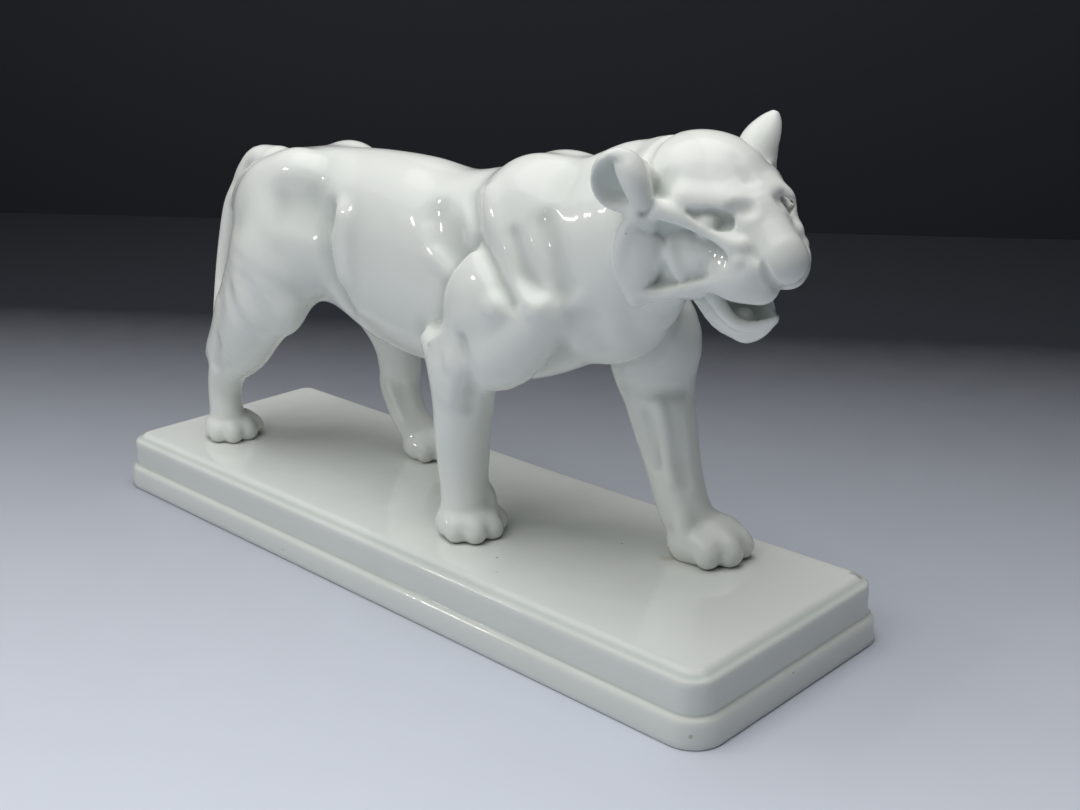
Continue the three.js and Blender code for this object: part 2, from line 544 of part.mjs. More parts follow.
// Draws neighbouring points together wherever that changes the skin least, until few enough
// triangles are left
function fewer({ points, faces }, limit) {
  const p = points.map((q) => [...q]);
  const f = faces.map((q) => [...q]);
  const around = p.map(() => new Set());
  const form = p.map(() => new Float64Array(10));
  f.forEach((t, i) => {
    const n = cross(less(p[t[1]], p[t[0]]), less(p[t[2]], p[t[0]]));
    const size = Math.hypot(...n) || 1e-12;
    const [a, b, c] = n.map((v) => v / size);
    const d = -dot([a, b, c], p[t[0]]);
    const w = size * worth(p[t[0]], c);
    const plane = [a * a, a * b, a * c, a * d, b * b, b * c, b * d, c * c, c * d, d * d];
    for (const v of t) {
      around[v].add(i);
      plane.forEach((x, k) => { form[v][k] += x * w; });
    }
  });
  const mark = new Int32Array(p.length);
  const heap = [];
  const push = (item) => {
    let i = heap.push(item) - 1;
    while (i > 0 && heap[(i - 1) >> 1].cost > item.cost) {
      heap[i] = heap[(i - 1) >> 1];
      i = (i - 1) >> 1;
    }
    heap[i] = item;
  };
  const pop = () => {
    const first = heap[0];
    const item = heap.pop();
    if (heap.length === 0) return first;
    let i = 0;
    for (;;) {
      let c = 2 * i + 1;
      if (c >= heap.length) break;
      if (c + 1 < heap.length && heap[c + 1].cost < heap[c].cost) c += 1;
      if (heap[c].cost >= item.cost) break;
      heap[i] = heap[c];
      i = c;
    }
    heap[i] = item;
    return first;
  };
  const beside = (v) => {
    const out = new Set();
    for (const i of around[v]) for (const u of f[i]) if (u !== v) out.add(u);
    return out;
  };
  const offer = (a, b) => {
    const q = form[a].map((v, k) => v + form[b][k]);
    const to = calmest(q, p[a], p[b]);
    const edge = less(p[a], p[b]);
    push({ cost: strain(q, to) + 0.004 * dot(edge, edge), a, b, to, ma: mark[a], mb: mark[b] });
  };
  p.forEach((_, a) => { for (const b of beside(a)) if (a < b) offer(a, b); });
  let left = f.length;
  while (left > limit && heap.length > 0) {
    const { a, b, to, ma, mb } = pop();
    if (mark[a] !== ma || mark[b] !== mb) continue;
    const [na, nb] = [beside(a), beside(b)];
    if ([...na].filter((v) => nb.has(v)).length !== 2) continue;
    const kept = [...around[a], ...around[b]].filter((i) => !(f[i].includes(a) && f[i].includes(b)));
    const folds = kept.some((i) => {
      const was = f[i].map((v) => p[v]);
      const now = f[i].map((v) => (v === a || v === b ? to : p[v]));
      const n0 = cross(less(was[1], was[0]), less(was[2], was[0]));
      const n1 = cross(less(now[1], now[0]), less(now[2], now[0]));
      const edges = [0, 1, 2].map((k) => less(now[k], now[(k + 1) % 3]));
      const longest = Math.max(...edges.map((e) => dot(e, e)));
      return dot(n0, n1) < 0.35 * Math.hypot(...n0) * Math.hypot(...n1) || Math.hypot(...n1) < 0.08 * longest;
    });
    if (folds) continue;
    for (const i of [...around[b]]) {
      if (f[i].includes(a)) {
        for (const v of f[i]) around[v].delete(i);
        f[i] = null;
        left -= 1;
      } else {
        f[i] = f[i].map((v) => (v === b ? a : v));
        around[a].add(i);
      }
    }
    around[b].clear();
    p[a] = to;
    form[b].forEach((v, k) => { form[a][k] += v; });
    mark[b] = -1;
    const ring = beside(a);
    mark[a] += 1;
    for (const v of ring) offer(Math.min(a, v), Math.max(a, v));
  }
  const used = new Map();
  const outFaces = f.filter((t) => t).map((t) => t.map((v) => {
    if (!used.has(v)) used.set(v, used.size);
    return used.get(v);
  }));
  const outPoints = [...used.keys()].map((v) => p[v]);
  return { points: outPoints, faces: outFaces };
}

const kernel = await Module();
kernel.setup();

function solid({ points, faces }) {
  const mesh = new kernel.Mesh({
    numProp: 3,
    vertProperties: new Float32Array(points.flat()),
    triVerts: new Uint32Array(faces.flat()),
  });
  return new kernel.Manifold(mesh);
}

const triples = (flat, stride = 3) => Array.from(
  { length: flat.length / stride },
  (_, i) => [...flat.slice(i * stride, i * stride + 3)],
);

// The points and triangles of a body
function parted(body) {
  const mesh = body.getMesh();
  return { points: triples(mesh.vertProperties, mesh.numProp), faces: triples(mesh.triVerts) };
}

function geometry({ points, faces }) {
  const out = new THREE.BufferGeometry();
  out.setAttribute('position', new THREE.Float32BufferAttribute(points.flat(), 3));
  out.setIndex(faces.flat());
  out.computeVertexNormals();
  return out;
}

function block(low, high) {
  const size = less(high, low);
  const box = new THREE.BoxGeometry(...size).translate(...plus(low, size.map((v) => v / 2)));
  const loose = triples(box.getAttribute('position').array);
  const points = [];
  const name = loose.map((q) => {
    const found = points.findIndex((r) => r.every((v, k) => v === q[k]));
    return found < 0 ? points.push(q) - 1 : found;
  });
  return solid({ points, faces: triples(box.getIndex().array).map((f) => f.map((v) => name[v])) });
}

// The figure, its soles cut flat where they stand on the plinth
function figure() {
  const clay = new Clay();
  trunk(clay);
  frontLegs(clay);
  hindLegs(clay);
  tail(clay);
  muscles(clay);
  head(clay);
  const net = solid(skin(clay, [-164, -50, 16], [184, 48, 206], CELL));
  const fine = settled(clay, parted(net), 2);
  const standing = solid(fine).subtract(block([-200, -80, 0], [200, 80, TOP]));
  const { points, faces } = fewer(parted(standing), FACETS);
  return { points: points.map(([x, y, z]) => [x, y, z < TOP + 0.1 ? TOP : z]), faces };
}

// Plinth in section: height and inset from the foot
const OUTSIDE = [
  [0, 0.3], [0.6, 0], [8.8, 0.6], [10.1, 1.1], [10.9, 2.1], [11.2, 2.9], [22.4, 3.1], [23.4, 3.6],
  [23.9, 4.4], [24.1, 5.4], [24.6, 6.6], [25.4, 7.5], [25.85, 8.2], [TOP, 9.2],
];
const INSIDE = [[0, WALL + 2], [CEILING - 3, WALL + 2.5], [CEILING - 0.8, WALL + 3.5], [CEILING, WALL + 6]];
const CORNER_STEPS = 6;

// One level of the plinth: a rectangle with rounded corners
function level([z, inset]) {
  const r = Math.max(FOOT_CORNER - inset, 1.5);
  const [x, y] = [LENGTH / 2 - inset - r, WIDTH / 2 - inset - r];
  const centres = [[x, y], [-x, y], [-x, -y], [x, -y]];
  return centres.flatMap(([cx, cy], c) => Array.from({ length: CORNER_STEPS + 1 }, (_, i) => {
    const a = Math.PI / 2 * (c + i / CORNER_STEPS);
    return [cx + r * Math.cos(a), cy + r * Math.sin(a), z];
  }));
}

function plinth() {
  const rings = [...[...INSIDE].reverse(), ...OUTSIDE].map(level);
  const n = rings[0].length;
  const points = rings.flat();
  const faces = [];
  for (let r = 0; r + 1 < rings.length; r += 1) {
    for (let i = 0; i < n; i += 1) {
      const j = (i + 1) % n;
      const [a, b, c, d] = [r * n + i, r * n + j, (r + 1) * n + j, (r + 1) * n + i];
      faces.push([a, b, c], [a, c, d]);
    }
  }
  // ceiling of the hollow and top face, each fanned from its middle
  const close = (ring, z, up) => {
    const middle = points.push([0, 0, z]) - 1;
    for (let i = 0; i < n; i += 1) {
      const [a, b] = [ring * n + i, ring * n + (i + 1) % n];
      faces.push(up ? [a, b, middle] : [b, a, middle]);
    }
  };
  close(0, CEILING, false);
  close(rings.length - 1, TOP, true);
  return { points, faces };
}

function named(name, body) {
  const mesh = new THREE.Mesh(geometry(body), new THREE.MeshStandardMaterial(GLAZE));
  mesh.name = name;
  return mesh;
}

const group = new THREE.Group();
group.name = 'porcelain_tiger';
group.add(named('tiger', figure()));
group.add(named('plinth', plinth()));
export default group;
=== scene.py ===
"""A white glazed porcelain tiger striding along a stepped plinth."""
import bpy
import math
import numpy as np
from mathutils import Matrix, Vector


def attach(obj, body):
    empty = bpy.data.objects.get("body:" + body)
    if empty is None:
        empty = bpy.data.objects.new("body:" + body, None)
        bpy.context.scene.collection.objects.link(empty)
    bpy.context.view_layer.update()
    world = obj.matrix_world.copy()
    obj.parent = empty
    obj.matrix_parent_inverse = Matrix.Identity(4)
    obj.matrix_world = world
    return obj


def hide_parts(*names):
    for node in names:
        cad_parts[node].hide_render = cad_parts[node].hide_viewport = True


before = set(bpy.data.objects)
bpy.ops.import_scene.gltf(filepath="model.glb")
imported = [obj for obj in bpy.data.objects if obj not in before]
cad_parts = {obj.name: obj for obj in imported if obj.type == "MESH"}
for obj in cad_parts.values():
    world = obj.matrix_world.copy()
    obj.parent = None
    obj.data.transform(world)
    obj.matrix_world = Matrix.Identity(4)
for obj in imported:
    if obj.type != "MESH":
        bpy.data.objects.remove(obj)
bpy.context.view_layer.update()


# The glaze.
# A clear, faintly green feldspar glaze lies over the whole white body. It runs thin and white over the ridges
# and gathers greener and darker in the hollows, partly as pooled glaze and partly as painted shade, with a
# soft ripple, a few pinholes and a few iron specks.

def add(tree, kind, settings=None, **inputs):
    """Adds a node, with its settings and its inputs by name, and gives it back."""
    made = tree.nodes.new(kind)
    for name, value in (settings or {}).items():
        setattr(made, name, value)
    for name, value in inputs.items():
        feed(tree, value, made.inputs[name.replace("_", " ")])
    return made


def feed(tree, value, socket):
    if isinstance(value, bpy.types.NodeSocket):
        tree.links.new(value, socket)
    else:
        socket.default_value = value


def sums(tree, operation, *values, clamp=False):
    """One arithmetic node, and its result."""
    made = tree.nodes.new("ShaderNodeMath")
    made.operation = operation
    made.use_clamp = clamp
    for value, socket in zip(values, made.inputs):
        feed(tree, value, socket)
    return made.outputs[0]


def mixed(tree, share, first, second):
    """The first colour turning into the second as the share goes from 0 to 1."""
    made = tree.nodes.new("ShaderNodeMix")
    made.data_type = "RGBA"
    for value, socket in ((share, made.inputs[0]), (first, made.inputs[6]), (second, made.inputs[7])):
        feed(tree, value, socket)
    return made.outputs[2]


def ramped(tree, value, low, high, start=0.0, end=1.0):
    """A smooth step from start to end while the value goes from low to high."""
    made = add(tree, "ShaderNodeMapRange", {"interpolation_type": "SMOOTHSTEP"}, Value=value)
    for name, number in (("From Min", low), ("From Max", high), ("To Min", start), ("To Max", end)):
        made.inputs[name].default_value = number
    return made.outputs[0]


def new_group(name, inputs, outputs):
    """An empty node group with these sockets, and its input and output nodes."""
    tree = bpy.data.node_groups.new(name, "ShaderNodeTree")
    kinds = {"colour": "NodeSocketColor", "number": "NodeSocketFloat", "vector": "NodeSocketVector"}
    for label, kind, value in inputs:
        tree.interface.new_socket(label, in_out="INPUT", socket_type=kinds[kind]).default_value = value
    for label, kind in outputs:
        tree.interface.new_socket(label, in_out="OUTPUT", socket_type=kinds[kind])
    return tree, tree.nodes.new("NodeGroupInput").outputs, tree.nodes.new("NodeGroupOutput").inputs


def glaze_group():
    tree, given, result = new_group(
        "glaze",
        [
            ("Thin Colour", "colour", (0.8, 0.8, 0.8, 1)),
            ("Pooled Colour", "colour", (0.6, 0.7, 0.6, 1)),
            ("Pooling And Shade", "number", 0.0),
            ("Drift", "number", 0.25),
            ("Speck Share", "number", 0.03),
        ],
        [("Colour", "colour"), ("Roughness", "number"), ("Height", "number")],
    )
    place = tree.nodes.new("ShaderNodeTexCoord").outputs["Object"]
    cloud = add(tree, "ShaderNodeTexNoise", Vector=place, Scale=26.0, Detail=2.0).outputs[0]
    flow = add(tree, "ShaderNodeTexNoise", Vector=place, Scale=95.0, Detail=1.0).outputs[0]
    grain = add(tree, "ShaderNodeTexNoise", Vector=place, Scale=620.0, Detail=2.0).outputs[0]
    drift = sums(tree, "MULTIPLY", sums(tree, "SUBTRACT", cloud, 0.5), given["Drift"])
    # The pooling share, with a random drift: glaze pooled in the hollows, which also stands for painted shade
    # there.
    pooled_and_shaded = sums(tree, "ADD", given["Pooling And Shade"], drift, clamp=True)
    cells = add(tree, "ShaderNodeTexVoronoi", Vector=place, Scale=150.0)
    chance = add(tree, "ShaderNodeSeparateColor", Color=cells.outputs["Color"]).outputs[0]
    chosen = sums(tree, "LESS_THAN", chance, given["Speck Share"])
    dot = ramped(tree, cells.outputs["Distance"], 0.035, 0.075, 1.0, 0.0)
    speck = sums(tree, "MULTIPLY", chosen, dot)
    body = mixed(tree, pooled_and_shaded, given["Thin Colour"], given["Pooled Colour"])
    specked = mixed(tree, sums(tree, "MULTIPLY", speck, 0.45), body, (0.2, 0.17, 0.12, 1))
    tree.links.new(specked, result["Colour"])
    rough = sums(tree, "ADD", sums(tree, "MULTIPLY", cloud, 0.06), sums(tree, "MULTIPLY", speck, 0.25))
    tree.links.new(sums(tree, "ADD", rough, 0.05), result["Roughness"])
    ripple = sums(tree, "ADD", sums(tree, "MULTIPLY", flow, 0.8), sums(tree, "MULTIPLY", grain, 0.05))
    tree.links.new(sums(tree, "SUBTRACT", ripple, sums(tree, "MULTIPLY", speck, 0.25)), result["Height"])
    return tree


def mark_group():
    """A ragged spot round a centre: a speck in the glaze, a chip or a stain."""
    tree, given, result = new_group(
        "mark",
        [("Centre", "vector", (0, 0, 0)), ("Radius", "number", 0.001), ("Ragged", "number", 0.4),
         ("Grain", "number", 900.0)],
        [("Mask", "number")],
    )
    place = tree.nodes.new("ShaderNodeTexCoord").outputs["Object"]
    apart = add(tree, "ShaderNodeVectorMath", {"operation": "DISTANCE"})
    tree.links.new(place, apart.inputs[0])
    tree.links.new(given["Centre"], apart.inputs[1])
    share = sums(tree, "DIVIDE", apart.outputs["Value"], given["Radius"])
    noise = add(tree, "ShaderNodeTexNoise", Vector=place, Scale=given["Grain"], Detail=3.0).outputs[0]
    wander = sums(tree, "MULTIPLY", sums(tree, "SUBTRACT", noise, 0.5), given["Ragged"])
    tree.links.new(ramped(tree, sums(tree, "ADD", share, wander), 0.7, 1.0, 1.0, 0.0), result["Mask"])
    return tree


GLAZE = glaze_group()
MARK = mark_group()


def glazed(name, thin, pooled_and_shaded, pooling_and_shade, drift, specks, marks):
    """A porcelain material; a mark is its place and radius in mm, ragged, grain, colour, strength and dip."""
    material = bpy.data.materials.new(name)
    material.use_nodes = True
    tree = material.node_tree
    shader = tree.nodes["Principled BSDF"]
    shader.inputs["IOR"].default_value = 1.54
    glaze = add(tree, "ShaderNodeGroup", {"node_tree": GLAZE}, Thin_Colour=(*thin, 1),
                Pooled_Colour=(*pooled_and_shaded, 1), Drift=drift, Speck_Share=specks)
    # Hollowness darkens and greens the glaze: partly pooled glaze, partly painted shade in the hollows.
    hollow = add(tree, "ShaderNodeAttribute", {"attribute_name": "hollow"}).outputs["Fac"]
    tree.links.new(sums(tree, "MULTIPLY", hollow, pooling_and_shade), glaze.inputs["Pooling And Shade"])
    colour, rough, height = glaze.outputs
    for place, radius, ragged, grain, stain, strength, dip in marks:
        mark = add(tree, "ShaderNodeGroup", {"node_tree": MARK}, Centre=[n / 1000 for n in place],
                   Radius=radius / 1000, Ragged=ragged, Grain=grain)
        share = sums(tree, "MULTIPLY", mark.outputs[0], strength)
        colour = mixed(tree, share, colour, (*stain, 1))
        if dip:
            height = sums(tree, "SUBTRACT", height, sums(tree, "MULTIPLY", mark.outputs[0], dip))
            rough = sums(tree, "ADD", rough, sums(tree, "MULTIPLY", share, 0.4))
    tree.links.new(colour, shader.inputs["Base Color"])
    tree.links.new(rough, shader.inputs["Roughness"])
    bump = add(tree, "ShaderNodeBump", Strength=0.6, Distance=0.00035, Height=height)
    tree.links.new(bump.outputs[0], shader.inputs["Normal"])
    return material


def shown(name, points, faces, hollow, material, node):
    """Makes a smooth mesh piece from points in mm, which stands for the CAD node."""
    mesh = bpy.data.meshes.new(name)
    mesh.from_pydata((np.asarray(points) / 1000).tolist(), [], [list(map(int, face)) for face in faces])
    mesh.update()
    mesh.polygons.foreach_set("use_smooth", [True] * len(mesh.polygons))
    layer = mesh.attributes.new("hollow", "FLOAT", "POINT")
    layer.data.foreach_set("value", np.asarray(hollow, np.float32))
    mesh.materials.append(material)
    piece = bpy.data.objects.new(name, mesh)
    bpy.context.scene.collection.objects.link(piece)
    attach(piece, "root")
    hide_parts(node)
    return piece


# The plinth.
# A rectangular slab of porcelain with a plain lower band, a step, an upper band and a small cove under the
# top. It is slip cast and hollow from below. Its bands and its cavity are drawn as height and inset in mm.

PLINTH_LENGTH = 360
PLINTH_WIDTH = 117
PLINTH_TOP = 26
CORNER = 13
SHARPEST = 1.5
CORNER_STEPS = 16
LONG_STEPS = 26
SHORT_STEPS = 8
FAR_EDGE_SAG = 1.3
BANDS = [
    (0, 0.7), (0.25, 0.3), (0.7, 0.06), (2.5, 0.0), (5.5, 0.3), (8.2, 0.55), (9.3, 0.8), (10.1, 1.25),
    (10.65, 1.9), (10.95, 2.5), (11.3, 2.95), (12.4, 3.05), (16, 3.06), (20.5, 3.1), (22.2, 3.2),
    (23.0, 3.5), (23.55, 4.0), (23.85, 4.7), (24.1, 5.4), (24.5, 6.2), (25.05, 6.95), (25.5, 7.6),
    (25.8, 8.3), (25.95, 9.1), (26, 10),
]
CAVITY = [(0, 8), (0.6, 8.6), (1.5, 8.8), (9, 9.0), (16, 9.2), (18.2, 9.9), (19.2, 11.3), (19.5, 13.5)]
TOP_INSETS = [12.5, 18, 26, 34, 42, 50]


def rounded_ring(inset, z):
    """Points round a rounded rectangle, anticlockwise from above."""
    x, y = PLINTH_LENGTH / 2 - inset, PLINTH_WIDTH / 2 - inset
    radius = max(CORNER - inset, SHARPEST)
    ring = []
    for sx, sy, turn, ahead, count in (
            (1, 1, 0, (-(x - radius), y), LONG_STEPS), (-1, 1, 90, (-x, -(y - radius)), SHORT_STEPS),
            (-1, -1, 180, (x - radius, -y), LONG_STEPS), (1, -1, 270, (x, y - radius), SHORT_STEPS)):
        for step in range(CORNER_STEPS + 1):
            a = math.radians(turn + step * 90 / CORNER_STEPS)
            ring.append((sx * (x - radius) + radius * math.cos(a),
                         sy * (y - radius) + radius * math.sin(a), z))
        last = ring[-1]
        for step in range(1, count):
            t = step / count
            ring.append((last[0] + (ahead[0] - last[0]) * t, last[1] + (ahead[1] - last[1]) * t, z))
    return ring


def plinth_piece():
    rings = [rounded_ring(inset, z) for z, inset in CAVITY[::-1] + BANDS]
    rings += [rounded_ring(inset, PLINTH_TOP) for inset in TOP_INSETS]
    count = len(rings[0])
    under = len(CAVITY) * count
    points = np.array([p for ring in rings for p in ring])
    faces = []
    for k in range(len(rings) - 1):
        for i in range(count):
            j = (i + 1) % count
            faces.append((k * count + i, k * count + j, (k + 1) * count + j, (k + 1) * count + i))
    faces.append(list(range(count))[::-1])
    last = (len(rings) - 1) * count
    faces.append([last + i for i in range(count)])
    sag = np.clip((points[:, 1] - 36) / 20, 0, 1) ** 2 * np.exp(-(points[:, 0] / 95) ** 2)
    sag[:under] = 0
    points[:, 2] -= FAR_EDGE_SAG * sag * np.clip((points[:, 2] - 19) / 7, 0, 1)
    # The step, the cove and the cavity underneath get the darker pooled colour: pooled glaze and painted
    # shade.
    hollow = np.zeros(len(points))
    for z, width, amount in ((11.4, 0.7, 0.9), (24.3, 0.6, 1.0)):
        hollow += amount * np.exp(-((points[:, 2] - z) / width) ** 2)
    hollow[:under] = 0.5
    marks = [
        ((180, -4, 9.6), 1.1, 0.5, 900, (0.05, 0.045, 0.035), 0.95, 0.5),
        ((174.6, -55.9, 5.5), 0.9, 0.6, 900, (0.30, 0.24, 0.16), 0.5, 0.2),
        ((170, 49.5, 25.4), 2.8, 1.9, 420, (0.2, 0.195, 0.18), 0.45, 0.4),
        ((174.5, 52, 23), 1.6, 1.6, 520, (0.2, 0.19, 0.17), 0.45, 0.4),
        ((61, -33, 26), 0.55, 0.5, 900, (0.08, 0.07, 0.05), 0.9, 0.3),
        ((88, 10, 26), 0.5, 0.5, 900, (0.12, 0.10, 0.07), 0.8, 0.3),
        ((70, -42, 26), 0.4, 0.5, 900, (0.2, 0.16, 0.1), 0.7, 0.3),
        ((109.5, 11, 26), 3, 1.4, 260, (0.45, 0.40, 0.27), 0.25, 0),
    ]
    # Its dark pooled colour is pooled glaze and painted shade in the recesses together.
    material = glazed("plinth_glaze", thin=(0.76, 0.785, 0.745), pooled_and_shaded=(0.44, 0.51, 0.455), pooling_and_shade=0.55,
                      drift=0.3, specks=0.012, marks=marks)
    return shown("plinth_glazed", points, faces, hollow, material, "plinth")


plinth_piece()


# The tiger's clay.
# The figure is one hollow casting. It is modelled as the sculptor built it: lumps and limbs are pressed
# together and smoothed, then hollows, folds and ridges are drawn over them with soft strokes, all in mm.

def turned(yaw=0, pitch=0, roll=0):
    """The local axes as columns: yaw about Z, then pitch about Y with the nose down, then roll about X."""
    a, p, r = np.radians([yaw, pitch, roll])
    rz = np.array([[np.cos(a), -np.sin(a), 0], [np.sin(a), np.cos(a), 0], [0, 0, 1]])
    ry = np.array([[np.cos(p), 0, np.sin(p)], [0, 1, 0], [-np.sin(p), 0, np.cos(p)]])
    rx = np.array([[1, 0, 0], [0, np.cos(r), -np.sin(r)], [0, np.sin(r), np.cos(r)]])
    return rz @ ry @ rx


class Stand:
    """The place and turn that a part is modelled in; swell sets the left half of the face forward."""

    def __init__(self, at=(0, 0, 0), yaw=0, pitch=0, roll=0, size=1.0, flip=False, swell=0.0):
        self.at, self.turn, self.size = np.array(at, float), turned(yaw, pitch, roll), size
        self.flip, self.swell = np.array([1, -1 if flip else 1, 1.0]), swell

    def inward(self, p):
        q = (p - self.at) @ self.turn / self.size * self.flip
        if self.swell:
            q[:, 0] -= self.swell * np.exp(-((q[:, 1] - 17) / 11) ** 2)
        return q

    def outward(self, p):
        return self.turn @ (np.asarray(p, float) * self.flip * self.size) + self.at


WORLD = Stand()


def curved(points, per=4):
    """A smooth curve through the points, which carry a radius or a width each."""
    q = np.array(points, float)
    if len(q) < 3:
        return q if len(q) > 1 else np.vstack([q, q + 1e-3 * np.eye(q.shape[1])[0]])
    ends = np.vstack([2 * q[0] - q[1], q, 2 * q[-1] - q[-2]])
    line = []
    for i in range(1, len(ends) - 2):
        a, b, c, d = ends[i - 1:i + 3]
        for t in np.arange(per) / per:
            line.append(0.5 * (2 * b + (c - a) * t + (2 * a - 5 * b + 4 * c - d) * t ** 2
                               + (3 * b - a - 3 * c + d) * t ** 3))
    return np.array(line + [q[-1]])


def nearest(p, line):
    """How far each point is from the line, and the radius there."""
    best = None
    for a, b in zip(line[:-1], line[1:]):
        ab = b[:3] - a[:3]
        t = np.clip(((p - a[:3]) @ ab) / max(ab @ ab, 1e-9), 0, 1)
        d = np.sqrt(((p - a[:3] - t[:, None] * ab) ** 2).sum(1))
        r = a[3] + t * (b[3] - a[3])
        if best is None:
            best = (d, r)
        else:
            nearer = (d - r) < (best[0] - best[1])
            best = (np.where(nearer, d, best[0]), np.where(nearer, r, best[1]))
    return best


def pressed(a, b, k):
    """The union of two forms with the join smoothed over about k."""
    h = np.maximum(k - np.abs(a - b), 0) / k
    return np.minimum(a, b) - h * h * h * k / 6


class Clay:
    """The distance from any point to the surface of the figure, built up act by act."""

    def __init__(self):
        self.acts = []
        self.stand = WORLD

    def keep(self, centre, reach, act):
        self.acts.append((self.stand.outward(centre), reach * self.stand.size, act, self.stand))

    def ball(self, at, radii, blend=6, turn=(0, 0, 0), cut=False, pair=False):
        radii = np.array(radii, float)
        for side in ((1, -1) if pair else (1,)):
            centre = np.array(at, float) * (1, side, 1)
            axes = turned(turn[0] * side, turn[1], turn[2] * side)

            def act(p, now, centre=centre, axes=axes, size=self.stand.size):
                q = (p - centre) @ axes
                k0 = np.sqrt(((q / radii) ** 2).sum(1))
                k1 = np.sqrt(((q / radii ** 2) ** 2).sum(1)) + 1e-9
                d = k0 * (k0 - 1) / k1 * size
                return -pressed(-now, d, blend * size) if cut else pressed(now, d, blend * size)
            self.keep(centre, radii.max() + blend * 1.2 + 2, act)

    def limb(self, path, blend=6, thin=1.0, cut=False, pair=False):
        """A tube along a path of places and radii; thin is its share of full thickness along y."""
        for side in ((1, -1) if pair else (1,)):
            q = np.array(path, float) * (1, side, 1, 1)
            squeeze = np.array([1, 1 / thin, 1])
            line = curved(q * np.array([*squeeze, 1]))
            centre = (q[:, :3].min(0) + q[:, :3].max(0)) / 2
            reach = np.linalg.norm(q[:, :3] - centre, axis=1).max() + q[:, 3].max() + blend * 1.2 + 2

            def act(p, now, line=line, squeeze=squeeze, size=self.stand.size):
                d, r = nearest(p * squeeze, line)
                d = (d - r) * size * (1 + thin) / 2
                return -pressed(-now, d, blend * size) if cut else pressed(now, d, blend * size)
            self.keep(centre, reach, act)

    def stroke(self, path, height, pair=False):
        """Raises the surface by height, or presses it in, along a path of places and widths."""
        for side in ((1, -1) if pair else (1,)):
            q = np.array(path, float) * (1, side, 1, 1)
            line = curved(q)
            centre = (q[:, :3].min(0) + q[:, :3].max(0)) / 2
            reach = np.linalg.norm(q[:, :3] - centre, axis=1).max() + q[:, 3].max() + 1

            def act(p, now, line=line, size=self.stand.size):
                d, r = nearest(p, line)
                t = np.clip(d / r, 0, 1)
                return now - height * size * (1 - t * t) ** 3
            self.keep(centre, reach, act)

    def press(self, outline, depth, side, reach):
        """Presses in the floor of a closed outline of x, z and edge width, on one side of the middle."""
        line = curved(outline + outline[:2])[:-4]
        line = np.vstack([line, line[:1]])
        centre = np.array([np.mean(line[:, 0]), side * 20, np.mean(line[:, 1])])

        def act(p, now):
            q = p[:, [0, 2]]
            best, width, odd = np.full(len(p), 1e9), np.ones(len(p)), np.zeros(len(p), bool)
            for a, b in zip(line[:-1], line[1:]):
                ab = b[:2] - a[:2]
                t = np.clip(((q - a[:2]) @ ab) / max(ab @ ab, 1e-9), 0, 1)
                d = np.sqrt(((q - a[:2] - t[:, None] * ab) ** 2).sum(1))
                nearer = d < best
                best = np.where(nearer, d, best)
                width = np.where(nearer, a[2] + t * (b[2] - a[2]), width)
                if ab[1]:
                    crossing = a[0] + (q[:, 1] - a[1]) * ab[0] / ab[1]
                    odd ^= ((a[1] > q[:, 1]) != (b[1] > q[:, 1])) & (q[:, 0] < crossing)
            t = np.clip(best / width, 0, 1) * odd * np.clip(p[:, 1] * side / 4 - 2, 0, 1)
            return now + depth * t * t * (3 - 2 * t)
        self.keep(centre, reach, act)

    def grid(self, axes):
        field = np.full([len(a) for a in axes], 60.0, np.float32)
        for centre, reach, act, stand in self.acts:
            s = tuple(slice(*np.searchsorted(a, (c - reach, c + reach))) for a, c in zip(axes, centre))
            part = field[s]
            if part.size:
                g = np.stack(np.meshgrid(*[a[x] for a, x in zip(axes, s)], indexing="ij"), -1).reshape(-1, 3)
                field[s] = act(stand.inward(g), part.reshape(-1).astype(float)).reshape(part.shape)
        return field

    def value(self, p):
        out = np.full(len(p), 60.0)
        for centre, reach, act, stand in self.acts:
            near = np.flatnonzero(((p - centre) ** 2).sum(1) < reach * reach)
            if len(near):
                out[near] = act(stand.inward(p[near]), out[near])
        return out

    def slope(self, p, e=0.15):
        g = np.empty_like(p)
        for i in range(3):
            d = np.eye(3)[i] * e
            g[:, i] = (self.value(p + d) - self.value(p - d)) / (2 * e)
        return g


clay = Clay()


# The trunk and neck.
# A long level back on a deep barrel, narrow at the loins, with the neck carried low and forward into a full
# breast. Hip bones and withers stand up through the skin.

TRUNK_AT = np.array([-140, -126, -108, -85, -60, -35, -10, 15, 40, 62, 82, 100, 112.0])
TRUNK_TOP = np.array([146, 157, 164, 168, 170, 171, 170.5, 168, 172, 175.5, 172, 165, 154.0])
TRUNK_LOW = np.array([126, 116, 109, 103, 98, 89.5, 86.5, 87, 87, 93, 102, 111, 122.0])
TRUNK_HALF_WIDTH = np.array([10, 17, 22, 24, 23, 25, 27.5, 28, 26, 25, 23, 19, 12.0])


def eased(x, xs, ys):
    """A smooth curve through stations along the body."""
    x = np.clip(x, xs[0], xs[-1] - 1e-6)
    i = np.clip(np.searchsorted(xs, x, side="right") - 1, 0, len(xs) - 2)
    slopes = np.gradient(ys, xs)
    h = xs[i + 1] - xs[i]
    t = (x - xs[i]) / h
    return (ys[i] * (1 + 2 * t) * (1 - t) ** 2 + h * slopes[i] * t * (1 - t) ** 2
            + ys[i + 1] * t * t * (3 - 2 * t) + h * slopes[i + 1] * t * t * (t - 1))


